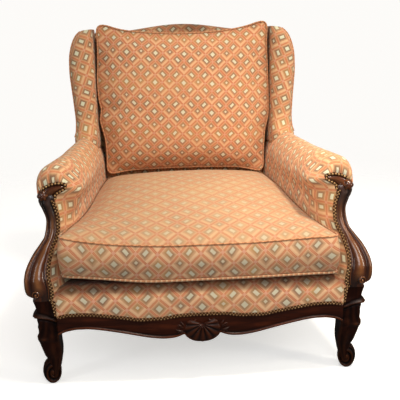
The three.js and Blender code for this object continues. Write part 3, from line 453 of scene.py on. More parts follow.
    # uneven yarn and soil
    yarn = g.noise(g.vec(g.m("MULTIPLY", u, 900.0), g.m("MULTIPLY", v, 260.0)), 1.0, 2.0)
    col = g.mix(0.28, col, g.mix(yarn, lin(142, 100, 78), lin(255, 240, 222)), "MULTIPLY")
    blot = g.step(g.noise(base_vec, 5.0, 4.0, 0.6), 0.35, 0.75)
    col = g.mix(g.m("MULTIPLY", blot, 0.16), col, lin(222, 168, 110))
    # soil and painted shade from the shade map's second value darken the cloth
    col = g.mix(g.m("MULTIPLY", dirt_and_shade, 0.85, clamp=True), col, lin(96, 58, 38), "MULTIPLY")
    if tuple(tint) != (1, 1, 1):
        col = g.mix(1.0, col, tuple(tint) + (1,), "MULTIPLY")
    wx = g.m("SINE", g.m("MULTIPLY", u, 2 * PI / 0.0016))
    wy = g.m("SINE", g.m("MULTIPLY", v, 2 * PI / 0.0021))
    weave = g.m("ADD", g.m("MULTIPLY", wx, wy), g.m("MULTIPLY", g.m("SUBTRACT", 1.0, g.step(d, 0.0, 5.0)), 1.6))
    weave = g.m("ADD", g.m("ADD", weave, g.m("MULTIPLY", g.step(e, 0.0, 3.0), 0.8)), g.m("MULTIPLY", yarn, 0.9))
    rough = g.m("ADD", 0.80, g.m("MULTIPLY", yarn, 0.14))
    return g.set(Base_Color=col, Roughness=rough, Normal=g.bump(weave, 0.35, 0.0006), Sheen_Weight=0.12, Sheen_Roughness=0.45, Specular_IOR_Level=0.2)


BACK_BANDS = [GOLD, KHAKI, TAUPE, TAUPE, DUSK, TAUPE, MAUVE]
SEAT_BANDS = [KHAKI, TAUPE, DUSK, TAUPE, GOLD, TAUPE]
M_BACK = fabric("cloth_back_cushion", BACK_BANDS, "v", 0.165, 0.42, ou=0.145, ov=-0.816, tint=(0.90, 0.99, 1.0))
M_SEAT = fabric("cloth_seat", SEAT_BANDS, "u", 0.235, 0.12, scale=0.885, pale=0.35, ring_k=0.8, core_k=0.92, tint=(0.785, 0.905, 0.965))
M_BODY = fabric("cloth_body", BACK_BANDS, "v", 0.165, 0.55, scale=0.93, pale=0.12, tint=(0.83, 0.965, 0.97))
M_ARM = fabric("cloth_arm", BACK_BANDS, "v", 0.165, 0.55, scale=0.90, pale=0.15, tint=(0.97, 1.12, 1.12))
# the border's blue-grey tint is partly painted cool window light
M_BORDER = fabric("cloth_border", SEAT_BANDS, "u", 0.235, 0.42, scale=0.885, pale=0.3, ring_k=1.0, core_k=1.06, tint=(0.95, 1.09, 1.15))


def welt_material(name, a, b, c, pitch):
    """Piping with slanting stripes."""
    g = G(name)
    _, u, v = g.uv("cloth")
    ph = g.m("FRACT", g.m("ADD", g.m("DIVIDE", u, pitch), g.m("MULTIPLY", v, 22.0)))
    ph2 = g.m("FRACT", g.m("ADD", g.m("DIVIDE", u, pitch * 0.37), g.m("MULTIPLY", g.noise(g.vec(u, v), 30.0), 1.4)))
    col = g.ramp(ph, [(0.0, a), (0.28, a), (0.34, b), (0.62, b), (0.68, c), (0.95, c), (1.0, a)])
    col = g.mix(g.m("MULTIPLY", ph2, 0.35), col, b)
    yarn = g.noise(g.vec(g.m("MULTIPLY", u, 700.0), g.m("MULTIPLY", v, 700.0)), 1.0, 2.0)
    col = g.mix(0.3, col, g.mix(yarn, lin(120, 84, 62), lin(255, 240, 220)), "MULTIPLY")
    twist = g.m("SINE", g.m("ADD", g.m("MULTIPLY", u, 2 * PI / 0.0022), g.m("MULTIPLY", v, 900.0)))
    return g.set(Base_Color=col, Roughness=0.85, Normal=g.bump(g.m("ADD", twist, yarn), 0.4, 0.0005), Sheen_Weight=0.2, Sheen_Roughness=0.5, Specular_IOR_Level=0.2)


M_WELT_TOP = welt_material("welt_top", lin(220, 156, 108), lin(190, 128, 86), lin(232, 172, 124), 0.019)
M_WELT_LOW = welt_material("welt_low", lin(200, 180, 144), lin(186, 130, 94), lin(162, 114, 82), 0.013)
M_WELT_BACK = welt_material("welt_back", lin(196, 140, 98), lin(212, 152, 110), lin(170, 120, 84), 0.014)


def wood(name, grain="z", gain=1.0, red=1.0, raw=False, coat=0.45, dull=0.0, spec=0.4, blue=1.0):
    g = G(name)
    sc3 = {"z": (1, 1, 0.09), "x": (0.09, 1, 1), "y": (1, 0.09, 1)}[grain]
    v = g.obj(sc3)
    _, worn, dirt_and_shade = g.uv("shade")
    n1 = g.noise(v, 42.0, 6.0, 0.6, 0.6)
    n2 = g.noise(v, 190.0, 4.0, 0.6)
    blot = g.noise(g.obj(), 7.0, 4.0, 0.6)
    if raw:
        col = g.ramp(n1, [(0.25, lin(150, 112, 72)), (0.5, lin(188, 148, 100)), (0.75, lin(204, 168, 122))])
        col = g.mix(g.m("MULTIPLY", n2, 0.35), col, lin(130, 92, 56), "MULTIPLY")
        return g.set(Base_Color=col, Roughness=0.7, Normal=g.bump(g.m("ADD", n1, n2), 0.3, 0.0006), Specular_IOR_Level=0.3)
    dark, mid, warm = lin(36, 15, 7), lin(70, 31, 15), lin(122, 62, 30)
    col = g.ramp(n1, [(0.22, dark), (0.5, mid), (0.82, warm)])
    col = g.mix(g.step(n2, 0.5, 0.8), col, dark)
    col = g.mix(g.m("MULTIPLY", g.step(blot, 0.4, 0.7), 0.5), col, dark)
    # lighter rubbed colour on ridges and edges: real wear and painted highlight
    rub_and_highlight = g.m("MULTIPLY", worn, g.m("ADD", 0.10, g.m("MULTIPLY", g.noise(g.obj(), 22.0, 3.0), 0.70)), clamp=True)
    col = g.mix(rub_and_highlight, col, lin(176, 112, 66))
    # near black where the second shade value is high: grime in the hollows and painted shade in grooves, under swells
    # and on back faces
    col = g.mix(g.m("MULTIPLY", dirt_and_shade, 0.9, clamp=True), col, lin(12, 6, 5))
    if gain != 1.0 or red != 1.0:
        col = g.mix(1.0, col, (gain * red, gain, gain * blue, 1), "MULTIPLY")
    rough = g.m("ADD", 0.24 + dull, g.m("ADD", g.m("MULTIPLY", n2, 0.14), g.m("MULTIPLY", dirt_and_shade, 0.35)))
    h = g.m("ADD", g.m("MULTIPLY", n2, 0.6), g.m("MULTIPLY", g.noise(g.obj(), 30.0, 3.0), 1.0))
    return g.set(Base_Color=col, Roughness=rough, Normal=g.bump(h, 0.22, 0.0008), Coat_Weight=coat, Coat_Roughness=0.18 + dull, Specular_IOR_Level=spec)


# one mahogany in three tones: the uprights lighter, partly rubbed wood and partly painted light for their broad
# highlights; the legs and the front rail darker
M_WOOD = wood("mahogany_upright", "z", 1.15, 0.95, coat=0.55, dull=-0.07, spec=0.45, blue=0.9)
M_WOOD_LEG = wood("mahogany_leg", "z", 0.22, 1.3, coat=0.03, dull=0.10, spec=0.15, blue=0.75)
M_WOOD_X = wood("mahogany_rail", "x", 0.38, 1.35, coat=0.10, dull=0.05, spec=0.22, blue=0.72)
M_WOOD_Y = wood("mahogany_side", "y")
M_STAIN = wood("stained_beech", "x", 0.75, 1.1, coat=0.08, dull=0.16, spec=0.25)
M_BEECH = wood("raw_beech", "x", raw=True)
M_BEECH_Z = wood("raw_beech_upright", "z", raw=True)


def brass():
    g = G("aged_brass")
    n = g.noise(g.obj(), 160.0, 3.0)
    big = g.noise(g.obj(), 55.0, 2.0)
    _, worn, dirt_and_shade = g.uv("shade")
    col = g.ramp(n, [(0.3, lin(150, 108, 64)), (0.55, lin(186, 144, 92)), (0.8, lin(232, 198, 144))])
    col = g.mix(g.m("MULTIPLY", big, 0.35), col, lin(92, 62, 36))
    # the first shade value darkens each head towards its rim and, where set, the whole head
    col = g.mix(g.m("MULTIPLY", worn, 0.9), col, lin(60, 38, 22))
    return g.set(Base_Color=col, Metallic=0.45, Roughness=g.m("ADD", 0.26, g.m("MULTIPLY", n, 0.25)), Normal=g.bump(n, 0.15, 0.0004))


def gimp():
    g = G("dark_gimp")
    o = g.obj()
    n = g.noise(o, 240.0, 3.0)
    col = g.mix(n, lin(44, 24, 14), lin(78, 47, 27))
    return g.set(Base_Color=col, Roughness=0.9, Normal=g.bump(n, 0.5, 0.0006), Specular_IOR_Level=0.15)


M_GIMP = gimp()
M_BRASS = brass()


def plain_cloth(name, c1, c2, pitch=0.0018, rough=0.9, strength=0.5):
    g = G(name)
    o = g.obj()
    s = g.t.nodes.new("ShaderNodeSeparateXYZ")
    g.t.links.new(o, s.inputs[0])
    x = g.m("SINE", g.m("MULTIPLY", g.m("ADD", s.outputs[0], g.m("MULTIPLY", s.outputs[2], 0.35)), 2 * PI / pitch))
    y = g.m("SINE", g.m("MULTIPLY", g.m("ADD", s.outputs[1], g.m("MULTIPLY", s.outputs[2], 0.9)), 2 * PI / pitch))
    w = g.m("MULTIPLY", x, y)
    n = g.noise(o, 60.0, 4.0, 0.6)
    col = g.mix(n, c1, c2)
    col = g.mix(g.m("MULTIPLY", g.step(w, -0.6, 0.2), 0.35), g.mix(0.5, col, (0.1, 0.07, 0.05, 1), "MULTIPLY"), col)
    return g.set(Base_Color=col, Roughness=rough, Normal=g.bump(g.m("ADD", w, n), strength, 0.0006), Sheen_Weight=0.15, Specular_IOR_Level=0.2)


M_DECK = plain_cloth("deck_cloth", lin(150, 112, 66), lin(182, 142, 88))
M_EDGE = plain_cloth("edge_lining", lin(172, 118, 80), lin(200, 144, 102))
M_HESSIAN = plain_cloth("jute_hessian", lin(128, 98, 58), lin(176, 142, 92), 0.0032, 0.95, 0.8)
M_BLACK = plain_cloth("black_cambric", lin(26, 24, 23), lin(44, 41, 38), 0.0016)


def webbing_mat():
    g = G("jute_webbing")
    o = g.obj()
    s = g.t.nodes.new("ShaderNodeSeparateXYZ")
    g.t.links.new(o, s.inputs[0])
    a = g.m("SINE", g.m("MULTIPLY", g.m("ADD", s.outputs[0], s.outputs[2]), 2 * PI / 0.003))
    b = g.m("SINE", g.m("MULTIPLY", g.m("ADD", s.outputs[1], s.outputs[2]), 2 * PI / 0.003))
    w = g.m("MULTIPLY", a, b)
    n = g.noise(o, 80.0, 4.0, 0.6)
    col = g.mix(n, lin(132, 100, 62), lin(188, 152, 104))
    band = g.step(g.m("SINE", g.m("MULTIPLY", g.m("ADD", s.outputs[0], s.outputs[2]), 2 * PI / 0.05)), 0.93, 0.97)
    col = g.mix(g.m("MULTIPLY", band, 0.7), col, lin(80, 40, 30))
    return g.set(Base_Color=col, Roughness=0.95, Normal=g.bump(g.m("ADD", w, n), 0.7, 0.0008), Specular_IOR_Level=0.2)


def steel_mat():
    g = G("coppered_spring_wire")
    n = g.noise(g.obj(), 60.0, 4.0)
    col = g.ramp(n, [(0.3, lin(74, 56, 44)), (0.6, lin(132, 96, 74)), (0.85, lin(90, 84, 80))])
    return g.set(Base_Color=col, Metallic=0.9, Roughness=g.m("ADD", 0.35, g.m("MULTIPLY", n, 0.3)), Normal=g.bump(n, 0.2, 0.0004))


M_WEB, M_STEEL = webbing_mat(), steel_mat()


def dress(names, mat):
    """Gives CAD nodes that stay visible their finish."""
    for n in names:
        o = NODES[n]
        if not o.material_slots:
            o.data.materials.append(mat)
        for s in o.material_slots:
            s.link = "OBJECT"
            s.material = mat


# ------------------------------------------------------------------ camera at the photograph's place
def camera():
    yaw, pit, rol = math.radians(3.44), math.radians(14.34), math.radians(-1.29)
    fw = np.array([math.sin(yaw) * math.cos(pit), math.cos(yaw) * math.cos(pit), -math.sin(pit)])
    r = np.array([math.cos(yaw), -math.sin(yaw), 0])
    u = np.cross(r, fw)
    R, U = r * math.cos(rol) + u * math.sin(rol), u * math.cos(rol) - r * math.sin(rol)
    cam = bpy.data.objects.new("camera", bpy.data.cameras.new("camera"))
    sc.collection.objects.link(cam)
    from mathutils import Matrix
    cam.matrix_world = Matrix([[R[0], U[0], -fw[0], -0.10197], [R[1], U[1], -fw[1], -1.73645], [R[2], U[2], -fw[2], 0.85078], [0, 0, 0, 1]])
    cam.data.sensor_width = 36
    cam.data.lens = 36 * 565.7 / 400
    cam.data.shift_x, cam.data.shift_y = 0.0215, 0.0
    cam.data.clip_start, cam.data.clip_end = 0.05, 60
    sc.camera = cam
    return cam


camera()


def light(name, kind, loc, target, energy, size=1.0, color=(1, 1, 1)):
    d = bpy.data.lights.new(name, kind)
    d.energy, d.color = energy, color
    if kind == "AREA":
        d.shape, d.size, d.size_y = "RECTANGLE", size[0], size[1]
    if kind == "SPOT":
        d.spot_size, d.spot_blend, d.shadow_soft_size = math.radians(size[0]), size[1], size[2]
    o = bpy.data.objects.new(name, d)
    sc.collection.objects.link(o)
    from mathutils import Vector
    o.location = loc
    o.rotation_mode = "QUATERNION"
    o.rotation_quaternion = (Vector(target) - Vector(loc)).to_track_quat("-Z", "Y")
    return o


light("key", "AREA", (0.62, -0.92, 2.65), (0.1, -0.05, 0.5), 17, (0.35, 0.3), (1.0, 0.90, 0.76))
light("spot_right", "SPOT", (0.66, -0.90, 2.55), (0.28, -0.10, 0.52), 132, (50, 1.0, 0.16), (1.0, 0.90, 0.76))
light("spot_arm", "SPOT", (-0.35, -1.25, 1.75), (0.33, -0.10, 0.50), 95, (27, 1.0, 0.20), (1.0, 0.93, 0.82))
light("second", "AREA", (0.25, -1.9, 1.35), (0.2, -0.1, 0.34), 8.5, (0.8, 0.6), (0.95, 0.97, 1.0))
light("strip_left", "AREA", (-2.2, -1.5, 1.2), (0, 0, 0.5), 7.0, (0.14, 1.8), (0.96, 0.97, 0.98))
light("strip_right", "AREA", (2.2, -1.3, 1.3), (0, 0, 0.5), 19, (0.2, 1.7), (1.0, 0.92, 0.80))
light("rim", "AREA", (0.6, 2.4, 2.2), (0, 0, 0.6), 12, (2.0, 1.2), (1.0, 0.99, 0.97))
world = bpy.data.worlds.new("studio")
sc.world = world
world.use_nodes = True
wt = world.node_tree
bg = wt.nodes["Background"]
bg.inputs[0].default_value = (1.0, 0.985, 0.96, 1)
lp_ = wt.nodes.new("ShaderNodeLightPath")
m1_ = wt.nodes.new("ShaderNodeMath")
m1_.operation = "MULTIPLY_ADD"
m1_.inputs[1].default_value, m1_.inputs[2].default_value = 0.60, 0.38
m2_ = wt.nodes.new("ShaderNodeMath")
m2_.operation = "MULTIPLY_ADD"
m2_.inputs[1].default_value = -0.30
wt.links.new(lp_.outputs["Is Camera Ray"], m1_.inputs[0])
wt.links.new(lp_.outputs["Is Glossy Ray"], m2_.inputs[0])
wt.links.new(m1_.outputs[0], m2_.inputs[2])
wt.links.new(m2_.outputs[0], bg.inputs[1])
sc.view_settings.view_transform = "Standard"
sc.view_settings.look = "None"
sc.view_settings.exposure = 0.0
sc.view_settings.gamma = 1.0

floor_me = bpy.data.meshes.new("floor")
ring_, fv, ff = 72, [(0.0, 0.0, 0.0)], []
for q, rad in enumerate((1.2, 2.4, 4.2)):
    for i in range(ring_):
        a_ = 2 * PI * i / ring_
        fv.append((rad * math.cos(a_), rad * math.sin(a_), 0.0))
for i in range(ring_):
    j = (i + 1) % ring_
    ff.append((0, 1 + i, 1 + j))
    for q in range(2):
        b0, b1 = 1 + q * ring_, 1 + (q + 1) * ring_
        ff.append((b0 + i, b1 + i, b1 + j, b0 + j))
floor_me.from_pydata(fv, [], ff)
fcol = floor_me.color_attributes.new("edge", "FLOAT_COLOR", "POINT")
for i, v_ in enumerate(fv):
    k_ = 1.0 - min(1.0, max(0.0, (math.hypot(v_[0], v_[1]) - 1.2) / 1.9))
    fcol.data[i].color = (k_, k_, k_, 1)
floor = bpy.data.objects.new("floor", floor_me)
sc.collection.objects.link(floor)
gf = G("pale_floor")
fa = gf.t.nodes.new("ShaderNodeVertexColor")
fa.layer_name = "edge"
floor_me.materials.append(gf.set(Base_Color=gf.mix(gf.noise(gf.obj(), 1.5, 2.0), (0.86, 0.855, 0.845, 1), (0.90, 0.895, 0.885, 1)), Roughness=0.9, Specular_IOR_Level=0.1,
                                 Alpha=gf.step(fa.outputs[0], 0.0, 1.0), Emission_Color=(1.0, 0.985, 0.96, 1), Emission_Strength=0.55))
floor.visible_glossy = False
floor.visible_diffuse = False

# ------------------------------------------------------------------ seat cushion and back cushion
def cloth_puff(o, pressure=4.0, steps=20, cap=12.0, tension=15.0, bend=0.6, shrink=0.0, seam=(), hold=None):
    """Runs a short cloth simulation with inner pressure and keeps its result, with each point's move capped (mm)."""
    n = len(o.data.vertices)
    base = np.empty(n * 3)
    o.data.vertices.foreach_get("co", base)
    base = base.reshape(-1, 3)
    md = o.modifiers.new("puff", "CLOTH")
    s = md.settings
    s.quality, s.mass, s.air_damping = 6, 0.25, 4.0
    s.tension_stiffness = s.compression_stiffness = tension
    s.shear_stiffness, s.bending_stiffness = tension * 0.6, bend
    s.use_pressure, s.uniform_pressure_force = True, pressure
    s.effector_weights.gravity = 0.0
    if len(seam) and shrink:
        vg = o.vertex_groups.new(name="seam")
        vg.add([int(i) for i in seam], 1.0, "REPLACE")
        s.vertex_group_shrink = "seam"
        s.shrink_min, s.shrink_max = 0.0, shrink
    md.collision_settings.use_collision = False
    md.collision_settings.use_self_collision = False
    md.point_cache.frame_start, md.point_cache.frame_end = 1, steps
    for f in range(1, steps + 1):
        sc.frame_set(f)
    dg = bpy.context.evaluated_depsgraph_get()
    ev = o.evaluated_get(dg)
    out = np.empty(n * 3)
    ev.data.vertices.foreach_get("co", out)
    out = out.reshape(-1, 3)
    o.modifiers.remove(md)
    o.vertex_groups.clear()
    sc.frame_set(1)
    d = out - base
    ln = np.linalg.norm(d, axis=1)
    k = np.where(ln > 1e-9, np.minimum(ln, cap * MM * np.tanh(ln / (cap * MM))) / np.maximum(ln, 1e-9), 0)
    if hold is not None:
        k = k * hold(base / MM)
    out = base + d * k[:, None]
    o.data.vertices.foreach_set("co", out.ravel())
    o.data.update()
    return out


def nearest(points, verts):
    """Index of the vertex nearest to each point."""
    from mathutils.kdtree import KDTree
    kd = KDTree(len(verts))
    for i, c in enumerate(verts):
        kd.insert(c, i)
    kd.balance()
    return np.array([kd.find(p)[1] for p in points])


def rim(P):
    """Points round the edge of a grid, counter-clockwise, without a repeat."""
    return np.concatenate([P[:-1, 0], P[-1, :-1], P[:0:-1, -1], P[0, :0:-1]])


def coords(o):
    a = np.empty(len(o.data.vertices) * 3)
    o.data.vertices.foreach_get("co", a)
    return a.reshape(-1, 3)


def smooth_ring(R, k=2):
    for _ in range(k):
        R = (np.roll(R, 1, 0) + 2 * R + np.roll(R, -1, 0)) / 4
    return R


CUSH = curve([[-392, 354], [-360, 349], [-330, 343], [-280, 333], [-235, 324], [-170, 315], [-81, 306], [0, 301], [82, 296], [200, 289], [277, 280]])
SEAM_TOP_F = curve([[-352, 425], [-345, 424], [-297, 411], [-201, 396], [-57, 387], [97, 387], [249, 393], [352, 400]])
SEAM_LOW_F = curve([[-352, 326], [-255, 311], [-98, 298], [71, 298], [224, 300], [352, 303]])


def seat_cushion():
    n, m, k = 64, 60, 8
    S, T = np.meshgrid(np.linspace(-1, 1, n + 1), np.linspace(-1, 1, m + 1), indexing="ij")
    e = 46.0
    r = (np.abs(S) ** e + np.abs(T) ** e) ** (1 / e)
    q = np.where(r > 1e-9, np.maximum(np.abs(S), np.abs(T)) / np.maximum(r, 1e-9), 1)
    s, t = S * q, T * q
    y = lerp(-398.5, 276, (t + 1) / 2)
    # the front edge bows a little between its corners
    y = y + 5 * (1 - s**2) * sm((-t - 0.5) * 2) - 2
    x = s * CUSH(y)
    back = sm((y + 392) / 520)
    zt = lerp(SEAM_TOP_F(x), 430 + 0 * x, back)
    zb = lerp(SEAM_LOW_F(x), 299 + 0 * x, sm((y + 392) / 330))
    f = (1 - np.abs(s) ** 2.6) ** 0.75 * (1 - np.abs(t) ** 2.8) ** 0.72
    f = np.nan_to_num(f)
    crown = 38 * (1 + 0.04 * t)
    top = np.stack([x, y, zt + crown * f + 1.6 * wobble(x, y, 2.0) * f], -1)
    low = np.stack([x, y, zb - (zb - 290.6) * np.nan_to_num((1 - s**6) ** 0.6 * (1 - t**6) ** 0.6)], -1)
    ra, rb = rim(top), rim(low)
    ctr = ra[:, :2]
    tan = np.roll(ctr, -1, 0) - np.roll(ctr, 1, 0)
    tan /= np.linalg.norm(tan, axis=1)[:, None]
    out = np.stack([tan[:, 1], -tan[:, 0]], -1)
    per = np.concatenate([[0], np.cumsum(np.linalg.norm(np.diff(np.concatenate([ra, ra[:1]])[:, :2], axis=0), axis=1))])
    per = per - per[n // 2] + ra[n // 2, 0]
    rows = []
    h = np.linspace(0, 1, k + 1)
    frontness = np.clip(-out[:, 1], 0, 1)
    for a in h:
        c = lerp(ra, rb, a)
        b = np.sin(PI * a) ** 0.8 * (6.5 + 8.5 * frontness) if 0 < a < 1 else 0 * frontness
        c = c + np.concatenate([out * b[:, None], np.zeros((len(c), 1))], 1)
        rows.append(c)
    B = np.stack(rows, 1)
    B = np.concatenate([B, B[:1]], 0)
    part = Part()
    worn = np.clip(0.60 + 0.32 * sm((y + 400) / 330) * np.nan_to_num(1 - 0.45 * np.abs(s) ** 3), 0, 0.88)
    worn = worn * (0.86 + 0.14 * wobble(x * 1.7, y * 1.7, 5))
    part.grid(top, np.stack([x, y], -1) * MM, np.stack([worn, 0 * worn], -1))
    # painted shade: the underside, and the side band more towards its bottom, are darker
    part.grid(low, np.stack([x, y + 700], -1) * MM, np.stack([0 * worn, 0.2 + 0 * worn], -1))
    zz = B[..., 2]
    front_v = -393.5 - (np.concatenate([ra, ra[:1]])[:, None, 2] - zz)
    part.grid(B, np.stack([np.broadcast_to(per[:, None], zz.shape), front_v], -1) * MM,
              np.stack([np.full(zz.shape, 0.10), 0.10 * h[None, :] ** 2 + 0 * zz], -1))
    o = part.obj("seat_cushion_cover", M_SEAT, body=None)
    v0 = coords(o)
    ia, ib = nearest(ra * MM, v0), nearest(rb * MM, v0)

    def hold(p):   # the underside lies on the deck, the sides lean on the arms
        low_ = sm((p[:, 2] - 292) / 30)
        side = 1 - 0.75 * sm((np.abs(p[:, 0]) - CUSH(p[:, 1]) + 14) / 14) * sm((p[:, 1] + 380) / 60)
        return np.where(p[:, 2] < 296, 0.0, low_) * side
    def hold_c(p):   # corners keep their points
        cx = sm((np.abs(p[:, 0]) - CUSH(p[:, 1]) + 60) / 50)
        cy = np.maximum(sm((-p[:, 1] - 345) / 40), sm((p[:, 1] - 225) / 40))
        return hold(p) * (1 - 0.8 * cx * cy)
    v = cloth_puff(o, 3.2, 20, 9.0, 12.0, 0.35, 0.03, np.concatenate([ia, ib]), hold_c)
    v[:, 2] = np.maximum(v[:, 2], 289.4 * MM)
    o.data.vertices.foreach_set("co", v.ravel())
    sub = o.modifiers.new("fine", "SUBSURF")
    sub.levels = sub.render_levels = 1
    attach(o, "seat_cushion")
    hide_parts("seat_cushion")
    for name, ids, mat, r in (("seat_cushion_piping_top", ia, M_WELT_TOP, 2.0), ("seat_cushion_piping_bottom", ib, M_WELT_LOW, 3.2)):
        R = smooth_ring(v[ids] / MM, 2)
        tt = np.roll(R, -1, 0) - np.roll(R, 1, 0)
        tt /= np.linalg.norm(tt, axis=1)[:, None]
        oo = np.stack([tt[:, 1], -tt[:, 0], 0 * tt[:, 0]], -1)
        oo /= np.linalg.norm(oo, axis=1)[:, None]
        R = R + oo * 2.2
        w = Part()
        thin = 0.55 + 0.45 * sm((-R[:, 1] - 372) / 18)      # pressed flat where the sides meet the arms
        tube(w, R, r * thin * (1 + 0.05 * np.sin(np.arange(len(R)) * 1.9)), 10, closed=True)
        wo = w.obj(name, mat, body="seat_cushion")
        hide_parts(name.replace("piping", "welt"))
    return o


def back_cushion():
    n, m, k = 60, 54, 5
    S, T = np.meshgrid(np.linspace(-1, 1, n + 1), np.linspace(-1, 1, m + 1), indexing="ij")
    low_e, top_e = 30.0, 46.0
    e = np.where(T < 0, low_e, top_e)
    r = (np.abs(S) ** e + np.abs(T) ** e) ** (1 / e)
    q = np.where(r > 1e-9, np.maximum(np.abs(S), np.abs(T)) / np.maximum(r, 1e-9), 1)
    s, t = S * q, T * q
    half_r = curve([[438, 277], [470, 279], [500, 281], [560, 284], [590, 286], [620, 293], [650, 299], [700, 299], [830, 295], [900, 293], [965, 294]])
    half_l = curve([[438, 276], [470, 278], [500, 279], [560, 281], [590, 284], [620, 291], [645, 295], [672, 287], [705, 295], [770, 297], [830, 293], [900, 290], [965, 290]])
    top_edge = curve([[-1, 956], [-0.93, 957], [-0.85, 953], [-0.75, 947], [-0.5, 939], [-0.25, 934], [0, 932], [0.25, 934], [0.5, 939], [0.75, 949], [0.88, 956], [0.95, 960], [1, 960]])
    low_edge = curve([[-1, 447], [-0.9, 450], [-0.6, 456], [0, 458], [0.6, 455], [0.9, 446], [1, 441]])
    zz = lerp(low_edge(s), top_edge(s), (t + 1) / 2)
    x = np.where(s > 0, s * half_r(zz), s * half_l(zz))
    edge = lerp(246, 291, (zz - 450) / 500) - 4 * np.abs(s) ** 6 * sm((t - 0.4) / 0.6)
    f = np.nan_to_num((1 - np.abs(s) ** 2.7) ** 0.8 * (1 - np.abs(t) ** 2.9) ** 0.75)
    bulge = 46 * (1 - 0.22 * t)
    fy = edge - bulge * f + 2.2 * wobble(x, zz, 7.0) * f
    rear = back_face(zz) - 5.0
    front = np.stack([x, fy, zz], -1)
    ry = lerp(np.minimum(edge + 24, rear), rear, np.nan_to_num((1 - s**8) ** 0.5 * (1 - t**8) ** 0.5))
    kx = 1 - 0.02 * (1 - f)
    behind = np.stack([x * kx, ry, zz - 3 * np.sign(t) * (1 - f)], -1)
    ra, rb = rim(front), rim(behind)
    c2 = ra[:, [0, 2]]
    tan = np.roll(c2, -1, 0) - np.roll(c2, 1, 0)
    tan /= np.linalg.norm(tan, axis=1)[:, None]
    out = np.stack([tan[:, 1], -tan[:, 0]], -1)
    per = np.concatenate([[0], np.cumsum(np.linalg.norm(np.diff(np.concatenate([ra, ra[:1]]), axis=0), axis=1))])
    rows = []
    h = np.linspace(0, 1, k + 1)
    for a in h:
        c = lerp(ra, rb, a)
        b = 3.0 * np.sin(PI * a) if 0 < a < 1 else 0.0
        rows.append(c + np.stack([out[:, 0] * b, np.zeros(len(c)), out[:, 1] * b], -1))
    B = np.stack(rows, 1)
    B = np.concatenate([B, B[:1]], 0)
    part = Part()
    # the cloth was cut a little off the straight
    ct, st = math.cos(math.radians(3.0)), math.sin(math.radians(3.0))
    dx, dz = x + 145, zz - 816
    # painted shade darkens the rim where the cushion turns away; the top edge is darker with real soil
    edge_shade_and_soil = 0.10 * sm((1 - f) * 1.1) ** 2 + 0.40 * sm((zz - top_edge(s) + 13) / 13) * (0.6 + 0.4 * wobble(x, x, 3.0))
    part.grid(front, np.stack([-145 + dx * ct - dz * st, 816 + dx * st + dz * ct], -1) * MM, np.stack([0.08 * f, np.clip(edge_shade_and_soil, 0, 0.6)], -1))
    part.grid(behind, np.stack([x + 900, zz], -1) * MM)
    # the side band is painted darker as shade
    part.grid(B, np.stack([np.broadcast_to(per[:, None], B.shape[:2]), B[..., 1]], -1) * MM, np.broadcast_to(np.array([0.0, 0.15]), B.shape[:2] + (2,)))
    o = part.obj("back_cushion_cover", M_BACK, body=None)
    v0 = coords(o)
    ia = nearest(ra * MM, v0)

    def hold(p):
        cx = sm((np.abs(p[:, 0]) - 235) / 40)
        cz = np.maximum(sm((p[:, 2] - 895) / 40), sm((505 - p[:, 2]) / 40))
        return np.clip(1 - sm((p[:, 1] - back_face(p[:, 2]) + 26) / 14), 0, 1) * (0.25 + 0.75 * sm((289 - np.abs(p[:, 0])) / 18)) * (1 - 0.85 * cx * cz)
    v = cloth_puff(o, 3.0, 20, 9.0, 12.0, 0.35, 0.04, ia, hold)
    sub = o.modifiers.new("fine", "SUBSURF")
    sub.levels = sub.render_levels = 1
    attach(o, "back_cushion")
    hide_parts("back_cushion")
    R = smooth_ring(v[ia] / MM, 2)
    tt = np.roll(R, -1, 0) - np.roll(R, 1, 0)
    oo = np.stack([tt[:, 2], 0 * tt[:, 0], -tt[:, 0]], -1)
    oo /= np.linalg.norm(oo, axis=1)[:, None]
    R = R + oo * 1.6 + np.array([0, -0.2, 0])
    w = Part()
    tube(w, R, 2.5 * (1 + 0.06 * np.sin(np.arange(len(R)) * 2.3)), 10, closed=True)
    wo = w.obj("back_cushion_piping", M_WELT_BACK, body="back_cushion")
    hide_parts("back_cushion_welt")


seat_cushion()
back_cushion()


# ------------------------------------------------------------------ padded arms
def grid_normals(P):
    du, dv = np.gradient(P, axis=0), np.gradient(P, axis=1)
    n = np.cross(du, dv)
    return n / np.maximum(1e-9, np.linalg.norm(n, axis=2))[..., None]


HOOK_EDGE = [[341, 530], [338, 532.5], [337, 536.5], [339.5, 540.5], [345.5, 542], [354, 541.8], [365, 540.8], [376, 538], [386, 533], [394, 528],
             [400, 522.5], [404, 517], [405, 510], [404, 503]]


HOLLOW = curve([[-345, 18], [-310, 24], [-280, 26], [-235, 27], [-81, 24], [0, 21], [82, 15], [200, 8], [262, 1], [310, 0]])


def arm_hollow(y, z):
    """How far the inner face draws back beside the seat cushion, under the roll."""
    return HOLLOW(y) * sm((z - 262) / 26) * (1 - sm((z - 450) / 75))


def arm_cheek(y, z):
    """Fullness that swells inwards just behind the nails, above the cushion."""
    return 21 * np.exp(-((y + 288) / 60) ** 2) * sm((z - 440) / 36) * (1 - sm((z - 512) / 46))


def arm_lean(z):
    """The inner face leans back into the roll in one soft curve: how far, at height z."""
    return 64 * (1 - np.sqrt(np.clip(1 - (np.clip(z - 452, 0, 136) / 136.5) ** 2, 0, 1)))


